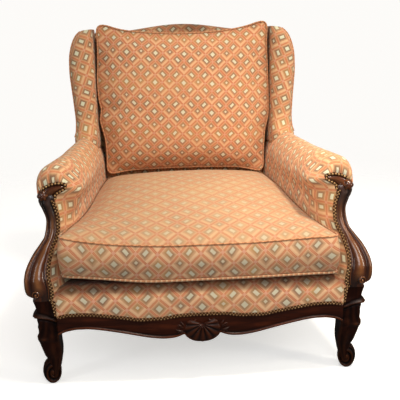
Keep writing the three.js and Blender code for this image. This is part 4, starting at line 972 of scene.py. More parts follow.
def arm_ring(xi, xo, nw, nr, no, y):
    """Points of one section, up the inner side, over the roll and down to the tack line. xi, xo and y may be per point."""
    nu = nw + nr + no + 1
    xi, xo, y = (np.broadcast_to(np.asarray(v, float), (nu,)) for v in (xi, xo, y))
    zw = np.linspace(256, 530, nw + 1)
    x, z = np.zeros(nu), np.zeros(nu)
    x[:nw + 1] = xi[:nw + 1] + arm_lean(zw) + arm_hollow(y[:nw + 1], zw) - arm_cheek(y[:nw + 1], zw)
    z[:nw + 1] = zw
    a = np.linspace(PI, 0, nr + 1)[1:]
    r = slice(nw + 1, nw + nr + 1)
    z[r] = 530 + 58 * np.sin(a) ** 0.94
    apex = xi[r] + 62
    full = 6.0 * np.exp(-((y + 285) / 52) ** 2)
    xo = xo + full
    x[r] = np.where(a > PI / 2, np.minimum(xi[r] + arm_lean(z[r]) - arm_cheek(y[r], z[r]), apex), apex + (xo[r] - apex) * np.cos(np.minimum(a, PI / 2)))
    q = slice(nw + nr + 1, nu)
    zo = np.linspace(530, 501, no + 1)[1:]
    x[q] = xo[q] - (4 + full[q] + 8 * np.exp(-((y[q] + 318) / 36) ** 2)) * ((530 - zo) / 29) ** 2
    z[q] = zo
    return x, z


def arm_section(y, nw=34, nr=46, no=6):
    """Outer skin of the arm at depth y."""
    return np.stack(arm_ring(arm_core(y), arm_out(y), nw, nr, no, y), -1)


def inside_arm():
    nw, nr, no = 34, 46, 6
    nu = nw + nr + no + 1
    sec0 = arm_section(-285.0)
    arc = np.concatenate([[0], np.cumsum(np.linalg.norm(np.diff(arm_section(-60.0), axis=0), axis=1))])
    # the nailed edge that the skin runs to, point for point
    zw = np.linspace(256, 530, nw + 1)
    edge_w = np.stack([arm_nail(zw), zw], -1)
    he = np.array(HOOK_EDGE, float)
    hl = np.concatenate([[0], np.cumsum(np.linalg.norm(np.diff(he, axis=0), axis=1))])
    sr = np.linspace(0, 1, nr + no + 1)[1:]
    sr = sr ** 0.92 * hl[-1]
    edge_r = np.stack([np.interp(sr, hl, he[:, 0]), np.interp(sr, hl, he[:, 1])], -1)
    E = np.concatenate([edge_w, edge_r])
    roll_w = np.concatenate([sm((zw - 486) / 44), np.ones(nr + no)])
    yN = np.where(np.arange(nu) <= nw, s_front(np.minimum(E[:, 1], 500)) + 3.0, -317.0)
    yN = lerp(yN, -317.0, roll_w)
    yN[-6:] = lerp(-317, -300, np.linspace(0, 1, 6) ** 2)
    D = 34.0
    nf, nb = 22, 40
    P = np.zeros((nu, nf + nb + 1, 3))
    K = np.zeros((nu, nf + nb + 1))
    for j in range(nf + nb + 1):
        if j <= nf:
            phi = j / nf * PI / 2
            y = yN + D * (1 - math.cos(phi))
            kr = 1 - math.sin(phi)
            dy = -9.0 * math.sin(2 * phi) * roll_w * np.concatenate([np.zeros(nw + 1) + 0.3, np.sin(np.linspace(0.1, PI, nr + no)) ** 0.5])
        else:
            t = (j - nf) / nb
            y = lerp(yN + D, 309.5, t ** 1.15)
            kr, dy = 0.0, 0.0
        kw = np.exp(-(y - yN) / (27.0 + 15.0 * sm((np.append(zw, np.full(nr + no, 530.0)) - 432) / 40)))
        k = lerp(kw, kr, roll_w)
        ys = np.asarray(y)
        # section at each point's own depth
        x, z = arm_ring(arm_core(ys), arm_out(np.maximum(ys, -318)), nw, nr, no, ys)
        P[:, j, 0] = x + (E[:, 0] - x) * k
        P[:, j, 2] = z + (E[:, 1] - z) * k
        P[:, j, 1] = ys + dy
        K[:, j] = k
    # gathers that run into the hook
    N = grid_normals(P)
    if N[nw + nr // 2, nf + 10, 2] < 0:
        N = -N
    el = np.concatenate([[0], np.cumsum(np.linalg.norm(np.diff(E, axis=0), axis=1))])
    u0 = el - el[nw]
    gate = sm((u0 + 14) / 18) * sm((el[-1] - el[nw] + 4 - u0) / 16)
    ph = u0 / 15.5 + 0.34 * np.sin(u0 / 21.0 + 1.2) + 0.12 * np.sin(u0 / 6.7)
    fold = (np.abs(np.sin(PI * ph)) ** 0.55 - 0.72)
    amp = (6.6 + 2.0 * np.sin(u0 / 13.0 + 1.0)) * gate
    fine = (np.abs(np.sin(PI * (u0 / 7.1 + 0.25 * np.sin(u0 / 11.0)))) ** 0.7 - 0.62) * gate
    Kc = np.clip(K, 0, 1)
    prof = np.where(Kc > 0.82, lerp(1.0, 0.55, (Kc - 0.82) / 0.18), sm((Kc - 0.02) / 0.72))
    P = P + N * (amp[:, None] * fold[:, None] * prof + 2.4 * fine[:, None] * sm((Kc - 0.45) / 0.4))[..., None]
    # soft hollows behind the gathers and small pulls at the nails
    pull = np.sin(2 * PI * el / 23.0)[:, None] * np.exp(-((P[..., 1] - yN[:, None]) / 14.0)) * 0.9 * (1 - gate)[:, None]
    P = P + N * (pull + 1.5 * wobble(P[..., 1], arc[:, None] + 0 * P[..., 1], 3.0) * (1 - Kc) ** 2)[..., None]
    P[..., 1] = np.minimum(P[..., 1], np.minimum(310.5, post_y(np.clip(P[..., 2], 0, 905)) - 20.5))
    step_ = np.linalg.norm(np.diff(P, axis=1), axis=2)
    run = np.concatenate([np.zeros((nu, 1)), np.cumsum(step_, axis=1)], 1)
    # measured along the cloth on the lower wall, along the depth on the roll
    dist = lerp(run, 0.5 * run + 0.5 * (P[..., 1] - yN[:, None]), roll_w[:, None])
    th = math.radians(43) * (1 - sm((dist - 10) / 260.0))
    a_, b_ = dist - 120.0, arc[:, None] - 240.0 + 0 * dist
    UV = np.stack([a_ * np.cos(th) - b_ * np.sin(th), a_ * np.sin(th) + b_ * np.cos(th)], -1) * MM
    # painted shade in the creases of the gathers and low down beside the seat; the top of the roll is faded
    dirt_and_shade = np.clip((0.03 - fold[:, None] * 0.8 - 0.25 * fine[:, None]) * (prof * gate[:, None]), 0, 0.42)
    top = sm((P[..., 2] - 560) / 28)
    SH = np.stack([0.12 * top * (1 - Kc), dirt_and_shade + 0.35 * sm((300 - P[..., 2]) / 40)], -1)
    part = Part()
    part.grid(P, UV, SH)
    # inner skin, so the cover has a thickness, and its edges
    Q = P.copy()
    inn = P - N * 7.0
    Q[:] = inn
    part.grid(Q[::-1], UV[::-1], SH[::-1] * 0)
    for A, B, U in ((P[0], Q[0], UV[0]), (P[-1], Q[-1], UV[-1]), (P[:, 0], Q[:, 0], UV[:, 0]), (P[:, -1], Q[:, -1], UV[:, -1])):
        part.grid(np.stack([A, B]), np.stack([U, U]))
    return part, E, yN


arm_part, ARM_EDGE, ARM_EDGE_Y = inside_arm()
for side, p in (("right", arm_part), ("left", arm_part.mirror())):
    o = p.obj("inside_arm_cover_" + side, M_ARM)
    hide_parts("inside_arm_" + side)


# ------------------------------------------------------------------ wings
WING_OUT = curve([[540, 372], [583, 374], [605, 371], [640, 372], [700, 377], [750, 382], [800, 385.5], [845, 384], [880, 378], [905, 370], [925, 359], [940, 343]])


def wing_pad():
    zs = np.concatenate([np.linspace(546, 900, 50), 900 + 38 * np.sin(np.linspace(0.08, 1, 14) * PI / 2)])
    nf, nb = 26, 7
    R, U = [], []
    for z in zs:
        yf = float(wing_front(z))
        tz = np.clip((z - 900) / 38.5, 0, 1)
        k = math.sqrt(max(0.0, 1 - tz * tz))
        sh = (1 - k)
        flare = float(np.clip((655 - z) / 70, 0, 1)) ** 2
        xo = float(WING_OUT(z)) + 5 * flare
        xi = 304 + 3 * sh - 3 * flare
        yr = post_y(min(905.0, z)) - 19.2
        cx, rx, ry = (xi + xo) / 2, (xo - xi) / 2, 34.0 + 14 * flare
        y0 = yf + sh * 16 - 34 * flare
        a = np.linspace(PI, 0, nf + 1)
        # fullest a little towards the outer side, as the roll of the wing is
        front = np.stack([cx + rx * np.sign(np.cos(a)) * np.abs(np.cos(a)) ** 0.86, y0 + ry - ry * np.sin(a) ** 0.9 + 5.0 * np.cos(a) * -1 * np.sin(a)], -1)
        inner = np.stack([np.full(nb, xi) - 3.0 * np.sin(np.linspace(0, PI, nb)), np.linspace(yr, y0 + ry, nb + 1)[:-1]], -1)
        outer = np.array([[xo, y0 + ry + 8], [xo - 1, y0 + ry + 14], [xo - 6, y0 + ry + 19], [358.2, y0 + ry + 20]])
        rear = np.array([[358.2, lerp(y0 + ry + 20, yr, 0.5)], [358.2, yr]])
        base = np.array([[lerp(358.2, xi, 0.5), yr]])
        ring = np.concatenate([inner, front, outer, rear, base])
        ring[:, 0] = np.maximum(ring[:, 0], xi - 3)
        # the top slopes up towards the back cushion
        lift = 7.0 * sm((z - 860) / 70) * (352 - ring[:, 0]) / 50
        R.append(np.stack([ring[:, 0], ring[:, 1], z + lift], -1))
        P = np.concatenate([ring, ring[:1]])
        U.append(np.concatenate([[0], np.cumsum(np.linalg.norm(np.diff(P, axis=0), axis=1))]))
    R = np.array(R)
    u_, v_ = np.array([u - u[nb] - 60 for u in U]), np.broadcast_to(zs[:, None] - 700, (len(zs), R.shape[1] + 1))
    wob = 1.4 * wobble(R[..., 2], u_[:, :-1] * 1.3, 9.0)
    d = R[..., :2] - np.stack([np.full(R.shape[:2], 338.0), (wing_front(R[..., 2]) + 50)], -1)
    d /= np.maximum(1e-6, np.linalg.norm(d, axis=2))[..., None]
    gate = np.zeros(R.shape[1])
    gate[nb:nb + nf + 1] = 1
    R[..., 0] += d[..., 0] * wob * gate
    R[..., 1] += d[..., 1] * wob * gate
    th = math.radians(22)
    UV = np.stack([u_ * math.cos(th) - v_ * math.sin(th), u_ * math.sin(th) + v_ * math.cos(th)], -1)
    part = Part()
    SH = np.zeros(R.shape[:2] + (2,))
    SH[..., 0] = 0.10 * sm((R[..., 2] - 905) / 30)
    # painted shade at the rear of the inner face, where the wing meets the back; darker along the inner edge of the top
    SH[..., 1] = 0.20 * sm((R[..., 1] - 275) / 30) * (R[..., 0] < 320) + 0.50 * sm((R[..., 2] - 916) / 26) * sm((330 - R[..., 0]) / 40)
    ring_loft(part, R, SH, UV=UV * MM)
    # the line of the seam cord on the outer edge
    j = nb + nf - 3
    line = R[6:-3, j] + d_off(R, j, 1.4)[6:-3]
    return part, line


def d_off(R, j, k):
    """Short steps outwards from column j of the rings."""
    c = R.mean(1)
    d = R[:, j] - c
    d[:, 2] = 0
    return d / np.linalg.norm(d, axis=1)[:, None] * k


wp, wing_line = wing_pad()
for side, p in (("right", wp), ("left", wp.mirror())):
    o = p.obj("wing_cover_" + side, M_BODY)
    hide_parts("wing_pad_" + side)
    L = wing_line * np.array([1 if side == "right" else -1, 1, 1])
    w = Part()
    tube(w, L, 2.3 * (1 + 0.05 * np.sin(np.arange(len(L)) * 1.7)), 8)
    o = w.obj("wing_piping_" + side, M_WELT_BACK)


# ------------------------------------------------------------------ back
def inside_back():
    xs = np.linspace(-302, 302, 61)
    R = []
    for x in xs:
        half = 281.0
        zl = np.concatenate([np.linspace(291, 586, 16), np.linspace(594, 915, 18)])
        xx = np.where(zl < 590, x * 281.0 / 302.0, x)
        crown = 5 * math.sqrt(max(0.0, 1 - (x / 303) ** 2))
        front = np.stack([xx, back_face(zl) - crown + 3, zl], -1)
        top = float(crest(x))
        a = np.linspace(0.12, 1, 13) * PI / 2
        yA, yB = float(back_face(930)) - crown * 0.4 + 1.0, 386.5
        roll_f = np.stack([np.full(13, x), lerp(yA, 362, 1 - np.cos(a)), lerp(922, top, np.sin(a) ** 0.85)], -1)
        b = np.linspace(0, 1, 9)[1:] * PI / 2
        roll_b = np.stack([np.full(8, x), lerp(362, yB, np.sin(b)), lerp(top - 14, top, np.cos(b))], -1)
        zi = np.linspace(900, 291, 14)
        inner_top = np.array([[x, yB - 3, top - 20], [x, 366, top - 17], [x, 352, top - 26]])
        inner = np.stack([np.where(zi < 590, x * 281.0 / 302.0, x), np.minimum(back_face(zi) + 15, post_y(np.clip(zi, 0, 905)) - 20.5), zi], -1)
        R.append(np.concatenate([front, roll_f, roll_b, inner_top, inner]))
    R = np.array(R)
    P = np.concatenate([R, R[:, :1]], 1)
    arc = np.concatenate([np.zeros((len(R), 1)), np.cumsum(np.linalg.norm(np.diff(P, axis=1), axis=2), 1)], 1)
    UV = np.stack([np.broadcast_to(xs[:, None], arc.shape), arc + 320], -1) * MM
    part = Part()
    SH = np.zeros(R.shape[:2] + (2,))
    mid_ = np.exp(-((R[..., 0] - 20) / 95.0) ** 2)
    SH[..., 1] = sm((R[..., 2] - 925) / 14) * (0.34 + 0.36 * mid_ * (1 + 0.5 * wobble(R[..., 0], R[..., 1], 4.0)))
    ring_loft(part, R, np.clip(SH, 0, 0.85), UV=UV)
    o = part.obj("inside_back_cover", M_BODY)
    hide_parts("inside_back")


inside_back()


def panel(name, A, thick, UV, node, flat, mat=None, area=None, SH=None, normal=None, rests=()):
    """A thin stretched panel on the outside of the chair: outer skin A[u, v], with a soft rounded edge and a back skin."""
    A = np.asarray(A, float)
    N = grid_normals(A)
    if normal is not None and (N.mean((0, 1)) * np.asarray(normal)).sum() < 0:
        N = -N
    a = np.minimum(np.arange(A.shape[0]), np.arange(A.shape[0])[::-1])
    b = np.minimum(np.arange(A.shape[1]), np.arange(A.shape[1])[::-1])
    rimk = np.minimum(np.minimum(a[:, None], b[None, :]) / 2.0, 1.0)
    out = A + N * (thick * (np.sqrt(1 - (1 - rimk) ** 2) - 1) * 0.8)[..., None]
    inn = A - N * thick
    part = Part()
    part.grid(out, UV * MM, SH)
    part.grid(inn[::-1], UV[::-1] * MM)
    for P_, Q_, U_ in ((out[0], inn[0], UV[0]), (out[-1], inn[-1], UV[-1]), (out[:, 0], inn[:, 0], UV[:, 0]), (out[:, -1], inn[:, -1], UV[:, -1])):
        part.grid(np.stack([P_, Q_]), np.stack([U_, U_]) * MM)
    return part


# outside arms
def outside_arm():
    nu, nv = 40, 30
    v = np.linspace(0, 1, nv + 1)
    z = lerp(202.0, 503, v)
    yf = np.where(z < 256, s_front(256) + 66, s_front(np.maximum(z, 256)) + s_deep(np.maximum(z, 256))) + 1.2
    yf = np.where(z < 300, np.maximum(yf, -326.4), yf)
    front = np.where(z < 256, 421, s_out(np.maximum(z, 256)) - 7)
    u = np.linspace(0, 1, nu + 1)
    Y = lerp(yf[None, :], (post_y(z) + 18.0)[None, :], u[:, None] ** 1.1)
    X = lerp(front[None, :], 362.5, np.minimum(1, (Y + 345) / 680)) + 2.0
    Z = np.broadcast_to(z[None, :], Y.shape)
    X = X + 2.0 * np.sin(PI * v)[None, :] * np.sin(PI * u)[:, None] ** 0.5 + 0.6 * wobble(Y, Z, 4.0)
    return panel(None, np.stack([X, Y, Z], -1), 3.2, np.stack([Y, Z], -1), None, None, normal=(1, 0, 0))


oa = outside_arm()
for side, p in (("right", oa), ("left", oa.mirror())):
    o = p.obj("outside_arm_cover_" + side, M_BODY)
    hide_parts("outside_arm_" + side)


def outside_wing():
    nu, nv = 10, 40
    v = np.linspace(0, 1, nv + 1)
    z = lerp(506, 931, v)
    y0 = np.where(z < 594, 313, wing_front(z) + lerp(57, 62, sm((z - 886) / 26)))
    y0 = lerp(313, y0, sm((z - 590) / 10))
    y1 = post_y(np.minimum(905, z)) + 17.5
    u = np.linspace(0, 1, nu + 1)
    Y = lerp(y0[None, :], y1[None, :], u[:, None])
    X = np.where(z[None, :] < 594, 362.5, lerp(372.5 - 16.5 * sm((z[None, :] - 884) / 44), 362.5, u[:, None]))
    Z = np.broadcast_to(z[None, :], Y.shape)
    return panel(None, np.stack([X, Y, Z], -1), 3.0, np.stack([Y, Z], -1), None, None, normal=(1, 0, 0))


ow = outside_wing()
for side, p in (("right", ow), ("left", ow.mirror())):
    o = p.obj("outside_wing_cover_" + side, M_BODY)
    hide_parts("outside_wing_" + side)


def outside_back():
    nu, nv = 44, 40
    X = np.linspace(-356, 356, nu + 1)
    top = np.where(np.abs(X) > 300, 926, crest(X) - 12)
    v = np.linspace(0, 1, nv + 1)
    Z = lerp(205, top[:, None], v[None, :])
    XX = np.broadcast_to(X[:, None], Z.shape)
    Y = post_y(np.minimum(905, Z)) + 18.5 + 5.4 + 1.6 * np.sin(PI * v)[None, :] * np.cos(XX / 356 * PI / 2) + 0.7 * wobble(XX, Z, 6.0)
    Y = np.minimum(Y, 399.6)
    p = panel(None, np.stack([XX, Y, Z], -1), 3.0, np.stack([XX, Z], -1), None, None, normal=(0, 1, 0))
    o = p.obj("outside_back_cover", M_BODY)
    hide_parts("outside_back")


outside_back()


def back_edge():
    """Cord round the outside back, up one corner, over the crest and down."""
    z = np.linspace(208, 920, 70)
    side = np.stack([np.full(70, 359.6), post_y(np.minimum(905, z)) + 21.4, z], -1)
    x = np.linspace(352, -352, 90)
    top = lerp(926.0, crest(x) - 12, sm((304 - np.abs(x)) / 24)) + 1.6
    over = np.stack([x, np.full(90, 397.6), top], -1)
    path = np.concatenate([side, [[358.6, 397.7, 925.5]], over, [[-358.6, 397.7, 925.5]], side[::-1] * np.array([-1, 1, 1])])
    w = Part()
    tube(w, path, 3.5 * (1 + 0.04 * np.sin(np.arange(len(path)) * 1.3)), 8)
    return w


o = back_edge().obj("outside_back_piping", M_WELT_BACK)


def wing_edge():
    """Cord that closes the outside wing against the wing pad and the end of the arm."""
    z = np.linspace(510, 926, 84)
    y = lerp(313.4, wing_front(z) + lerp(55.4, 60.0, sm((z - 886) / 26)), sm((z - 592) / 12))
    x = lerp(365.6, 371.4, sm((z - 588) / 12)) - 16.5 * sm((z - 884) / 44)
    yb = np.linspace(359, 317, 12)
    low = np.stack([lerp(362.6, 364.8, (359 - yb) / 42), yb, np.full(12, 504.8)], -1)
    path = np.concatenate([low, [[365.3, 314.0, 506.4]], np.stack([x, y, z], -1)])
    w = Part()
    tube(w, path, 4.6 * (1 + 0.04 * np.sin(np.arange(len(path)) * 1.3)), 8)
    return w


def corner_cap():
    """Small pad over the top of the rear post, between the crest and the wing."""
    R = []
    for z in np.concatenate([np.linspace(884, 918, 8), 918 + 17.5 * np.sin(np.linspace(0.15, 1, 8) * PI / 2)]):
        k = math.sqrt(max(0.0, 1 - (max(0.0, z - 918) / 17.7) ** 2))
        a = np.linspace(0, 2 * PI, 33)[:-1]
        rx, ry = 33.0 * (0.25 + 0.75 * k), 22.0 * (0.25 + 0.75 * k)
        R.append(np.stack([329.5 + rx * np.sign(np.cos(a)) * np.abs(np.cos(a)) ** 0.35, 374.5 + ry * np.sign(np.sin(a)) * np.abs(np.sin(a)) ** 0.35, np.full(32, z)], -1))
    R = np.array(R)
    P = np.concatenate([R, R[:, :1]], 1)
    SH = np.zeros(R.shape[:2] + (2,))
    SH[..., 1] = 0.30
    part = Part()
    ring_loft(part, R, SH, UV=np.stack([P[..., 0] + 0.3 * P[..., 1], P[..., 2] + P[..., 1]], -1) * MM)
    return part


we, cc = wing_edge(), corner_cap()
for side, a_, b_ in (("right", we, cc), ("left", we.mirror(), cc.mirror())):
    o = a_.obj("outside_wing_piping_" + side, M_WELT_BACK)
    o = b_.obj("crest_corner_cover_" + side, M_BODY)


# ------------------------------------------------------------------ front border, deck, bottoming
def front_border():
    nx = 120
    xs = np.linspace(-371.0, 371.0, nx + 1)
    R = []
    for x in xs:
        zn = float(nail_edge(abs(x))) + 2.5
        lift = 2.0 * math.sqrt(max(0, 1 - (x / 372) ** 2))
        outer = np.array([[-394.8, zn], [-396.2, lerp(zn, 236, 0.3)], [-397.0, lerp(zn, 236, 0.7)], [-397.0, 242], [-395.6, 254], [-391.5, 266], [-385, 275.5],
                          [-377.0, 281.5], [-366, 284.5 + lift], [-344, 285 + lift], [-314, 284]])
        t = np.linspace(0, len(outer) - 1, 31)
        k = np.arange(len(outer))
        yy, zz = curve(np.stack([k, outer[:, 0]], 1))(t), curve(np.stack([k, outer[:, 1]], 1))(t)
        o = np.stack([np.full(31, x), yy, zz], -1)
        inner = np.array([[x, -314, 267], [x, -345, 248], [x, -362, 242.5], [x, -376, 240.2], [x, -384.5, 238], [x, -387, 230], [x, -387, zn + 2]])
        R.append(np.concatenate([o, inner]))
    R = np.array(R)
    R[..., 0] += np.sign(R[..., 0]) * 12.5 * sm((R[..., 2] - 254) / 8) * np.clip((np.abs(R[..., 0]) - 335) / 36, 0, 1)
    w = 1.5 * wobble(R[:, :31, 0], R[:, :31, 2] * 1.5, 11.0) * np.sin(np.linspace(0, PI, 31))[None, :] ** 0.5
    R[:, :31, 1] -= np.clip(w, -1.2, 0.0) * 0.9
    R[:, :31, 2] += w * 0.3
    P = np.concatenate([R, R[:, :1]], 1)
    arc = np.concatenate([np.zeros((len(R), 1)), np.cumsum(np.linalg.norm(np.diff(P, axis=1), axis=2), 1)], 1)
    zn = nail_edge(np.abs(xs))
    UV = np.stack([np.broadcast_to(xs[:, None], arc.shape), arc + zn[:, None]], -1) * MM
    part = Part()
    SH = np.zeros(R.shape[:2] + (2,))
    SH[..., 0] = 0.05
    # painted shadow of the seat cushion over the top of the border, and painted shade where it turns back underneath
    SH[..., 1] = 0.80 * sm((R[..., 2] - 254) / 24) + 0.2 * sm((R[..., 1] + 372) / 20)
    ring_loft(part, R, SH, UV=UV)
    o = part.obj("front_border_cover", M_BORDER)
    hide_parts("front_border")


front_border()


def seat_deck():
    n = 30
    S, T = np.meshgrid(np.linspace(-1, 1, n + 1), np.linspace(0, 1, n + 1), indexing="ij")
    y = lerp(-312.6, 285.5, T)
    w = np.minimum(281, arm_core(y) - 3.5)
    x = S * w
    e = np.minimum(1, 8 * np.minimum(np.minimum((S + 1) / 2, (1 - S) / 2), np.minimum(T, 1 - T)))
    top = np.stack([x, y, 283.6 + 3.0 * np.sin(PI / 2 * e) + 0.5 * wobble(x, y, 1.0) * e], -1)
    low = np.stack([x, y, np.full(x.shape, 267.5)], -1)
    part = Part()
    part.grid(top, np.stack([x, y], -1) * MM)
    part.grid(low, np.stack([x, y], -1) * MM)
    a, b = rim(top), rim(low)
    part.grid(np.stack([np.concatenate([a, a[:1]]), np.concatenate([b, b[:1]])], 1))
    o = part.obj("seat_deck_cover", M_DECK)
    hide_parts("seat_deck")


seat_deck()

# ------------------------------------------------------------------ carved front rail
def front_rail():
    xs = np.unique(np.concatenate([np.linspace(-371.4, 371.4, 231), np.linspace(-60, 60, 61)]))
    R, SH = [], []
    for x in xs:
        ze, zn = float(rail_edge(abs(x))), float(nail_edge(abs(x)))
        shell = float(sm((62 - abs(x)) / 16))          # the field swells towards the shell
        ht = zn - ze
        y0 = -394.6
        # bead along the lower edge, a groove, the field, a small bead below the nails
        b = 3.0
        a = np.linspace(-0.95, 1.0, 13) * PI / 2
        bead = np.stack([y0 - 2.2 * (1 - shell) * np.cos(a) - 0.4, ze + b + b * np.sin(a)], -1)
        field_z = np.linspace(ze + 2 * b + 1.6, zn - 5.5, 9)
        tt = np.linspace(0, 1, 9)
        field_y = y0 + 0.9 - 1.5 * np.sin(PI * tt) ** 0.8 * (1 - shell) - 0.8 * shell
        a2 = np.linspace(-1, 1, 7) * PI / 2
        top = np.stack([y0 + 0.6 - 0.9 * np.cos(a2), zn - 2.0 + 1.6 * np.sin(a2)], -1)
        face = np.concatenate([bead, [[y0 + 0.9, ze + 2 * b + 0.6]], np.stack([field_y, field_z], -1), top, [[y0 + 1.0, zn + 3]]])
        rear = np.array([[-386.5, zn + 3.2], [-386.5, 236], [-350, 236], [-350, max(166, ze + 3)], [-374, max(165.5, ze + 2)], [-374, ze + 1.5], [-384, ze - 0.2]])
        P = np.concatenate([face, rear])
        R.append(np.stack([np.full(len(P), x), P[:, 0], P[:, 1]], -1))
        s = np.zeros((len(P), 2))
        # the beads are painted lighter, wear and painted highlight; painted shade in the groove above the lower bead
        # and on the rear faces
        s[3:11, 0] = 0.45
        s[13:15, 1] = 0.6
        s[24:29, 0] = 0.15
        s[len(face):, 1] = 0.3
        SH.append(s)
    part = Part()
    ring_loft(part, np.array(R), np.array(SH))
    # the shell: ribs that fan out from a point under the nails, with a scalloped lower rim
    ribs, nt, nr = 9, 181, 24
    th = np.linspace(-112, 112, nt) * PI / 180
    cx, cz = 0.0, 176.0
    rr = np.linspace(0, 1, nr + 1)
    zt, xr = [], []
    reach = np.zeros(nt)
    for i, t in enumerate(th):
        dx, dz = math.sin(t), -math.cos(t)
        k = 1.0
        # reach to an ellipse round the middle of the lobe
        best = 0
        for q in np.linspace(5, 80, 301):
            x, z = cx + dx * q, cz + dz * q
            if ((x / 46.5) ** 2 + ((z - 161.5) / 37.5) ** 2) <= 1:
                best = q
        reach[i] = best
    wave = np.cos((th / (224 * PI / 180)) * ribs * 2 * PI)
    reach = reach * (1 + 0.022 * wave)
    T, Q = np.meshgrid(np.arange(nt), rr, indexing="ij")
    ang = th[T]
    rad = reach[T] * Q
    X = cx + np.sin(ang) * rad
    Z = cz - np.cos(ang) * rad
    dome = np.sqrt(np.clip(1 - (np.clip(Q - 0.55, 0, 1) / 0.45) ** 2, 0, 1)) * sm(Q / 0.22)
    rib = (0.5 + 0.5 * wave[T]) ** 0.7
    Y = -394.2 - 7.4 * dome * (0.70 + 0.30 * rib) - 0.8 * np.sin(Q * PI) * rib
    # rib crowns painted lighter, wear and painted highlight; painted shade in the furrows
    S = np.stack([0.25 * rib * sm(Q * 2) * (Q < 0.97), 0.85 * (1 - rib) * sm(Q * 3)], -1)
    part.grid(np.stack([X, Y, Z], -1), None, S)
    # the shell's edge goes back into the rail
    e0 = np.stack([X[:, -1], Y[:, -1], Z[:, -1]], -1)
    e1 = np.stack([X[:, -1] * 0.97, np.full(nt, -388.0), cz + (Z[:, -1] - cz) * 0.97], -1)
    part.grid(np.stack([e0, e1]))
    part.grid(np.stack([e1, np.broadcast_to(np.array([0, -388.0, 165.0]), e1.shape)]))
    for j in (0, -1):
        col = np.stack([X[j], Y[j], Z[j]], -1)
        low = np.stack([X[j], np.full(nr + 1, -388.0), Z[j]], -1)
        part.grid(np.stack([col, low]))
    o = part.obj("front_rail_carved", M_WOOD_X, merge=0.0, closed=True)
    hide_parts("front_rail")
    # small bosses and leaf scrolls either side of the shell
    lp = Part()
    for sgn in (-1, 1):
        tube(lp, np.array([[sgn * (16 + 15 * k), -395.4 - 1.6 * math.sin(k * PI), 187.5 - 4 * k - 3 * math.sin(k * PI)] for k in np.linspace(0, 1, 12)]),
             np.interp(np.linspace(0, 1, 12), [0, 0.3, 0.8, 1], [1.2, 2.8, 2.4, 1.0]), 8, SH=(0.15, 0.3))
        for q, (xa, za, xb, zb, w) in enumerate([(49, 163, 66, 174, 2.8), (50, 156, 70, 161, 3.0), (49, 150, 66, 150.5, 2.6), (46, 172, 56, 183, 2.6)]):
            k = np.linspace(0, 1, 14)
            bx = lerp(xa, xb, k)
            bz = lerp(za, zb, k) + 3.0 * np.sin(PI * k) * (1 if q % 2 == 0 else -0.6)
            tube(lp, np.stack([sgn * bx, -394.6 - 1.2 * np.sin(PI * k ** 0.7), bz], -1), w * np.sin(PI * np.clip(k * 0.93 + 0.05, 0, 1)) ** 0.7 + 0.3, 8, SH=(0.12, 0.35))
        # curl at the end of the leaves
        k = np.linspace(0, 1, 26)
        rr_ = 5.6 * (1 - 0.72 * k)
        an = 0.6 + k * 2.4 * PI
        tube(lp, np.stack([sgn * (60 + rr_ * np.cos(an)), -395.6 - 1.0 * k, 169.0 + rr_ * np.sin(an)], -1), 1.5 * (1 - 0.35 * k), 8, SH=(0.15, 0.3))
    o2 = lp.obj("front_rail_leaves", M_WOOD_X, merge=0.0)


front_rail()


# ------------------------------------------------------------------ front legs
def spiral_disc(part, centre, turn, a, b, thick, turns=1.7, hollow=3.4, flat_z=None, wind=1, eye=0.26, sides=64):
    """Snail scroll standing upright: an oval disc with a spiral channel on its front face, turned about Z by turn degrees."""
    ct, st = math.cos(math.radians(turn)), math.sin(math.radians(turn))
    nr = 26
    th = np.linspace(0, 2 * PI, sides + 1)
    q = np.linspace(0, 1, nr + 1)
    TH, Q = np.meshgrid(th, q, indexing="ij")
    # the channel's radius grows with the angle
    ph = (Q - eye) / (1 - eye) * turns - wind * TH / (2 * PI)
    ridge = np.cos(2 * PI * ph)
    inside = sm((Q - eye * 0.8) / 0.10)
    edge = np.sqrt(np.clip(1 - (np.clip(Q - 0.86, 0, 1) / 0.14) ** 2, 0, 1))
    y = -thick / 2 * (0.35 + 0.65 * edge) - hollow * 0.5 * ridge * inside * edge
    button = np.sqrt(np.clip(1 - (Q / (eye * 0.85)) ** 2, 0, 1))
    y = y - button * 3.2 * (Q < eye * 0.85)
    X, Z = a * Q * np.cos(TH), b * Q * np.sin(TH)
    # ridge, eye and rim painted lighter, wear and painted highlight; painted shade in the channel and on the back
    worn = np.clip(ridge, 0, 1) * 0.7 * edge + 0.6 * (Q < eye * 0.6)
    dirt_and_shade = np.clip(-ridge, 0, 1) * inside * 0.95

    def turned(X, Y, Z):
        if flat_z is not None:
            Z = np.maximum(Z, flat_z - centre[2])
        return np.stack([centre[0] + X * ct - Y * st, centre[1] + X * st + Y * ct, centre[2] + Z], -1)
    part.grid(turned(X, y, Z), None, np.stack([worn, dirt_and_shade], -1))
    yb = thick / 2 * (0.45 + 0.55 * edge)
    part.grid(turned(X, yb, Z), None, np.stack([0 * worn, 0.3 + 0 * worn], -1))
    A = turned(X[:, -1], y[:, -1], Z[:, -1])
    B = turned(X[:, -1], yb[:, -1], Z[:, -1])
    k = np.linspace(0, 1, 9)
    bulge = np.sin(PI * k)
    M = A[:, None] * (1 - k)[None, :, None] + B[:, None] * k[None, :, None]
    off = turned(X[:, -1] * 1.05, 0 * y[:, -1], Z[:, -1] * 1.05) - turned(X[:, -1], 0 * y[:, -1], Z[:, -1])
    M = M + off[:, None] * bulge[None, :, None]
    if flat_z is not None:
        M[..., 2] = np.maximum(M[..., 2], flat_z)
    part.grid(M, None, np.stack([0.25 * bulge[None, :] + 0 * M[..., 0], 0 * M[..., 0]], -1))


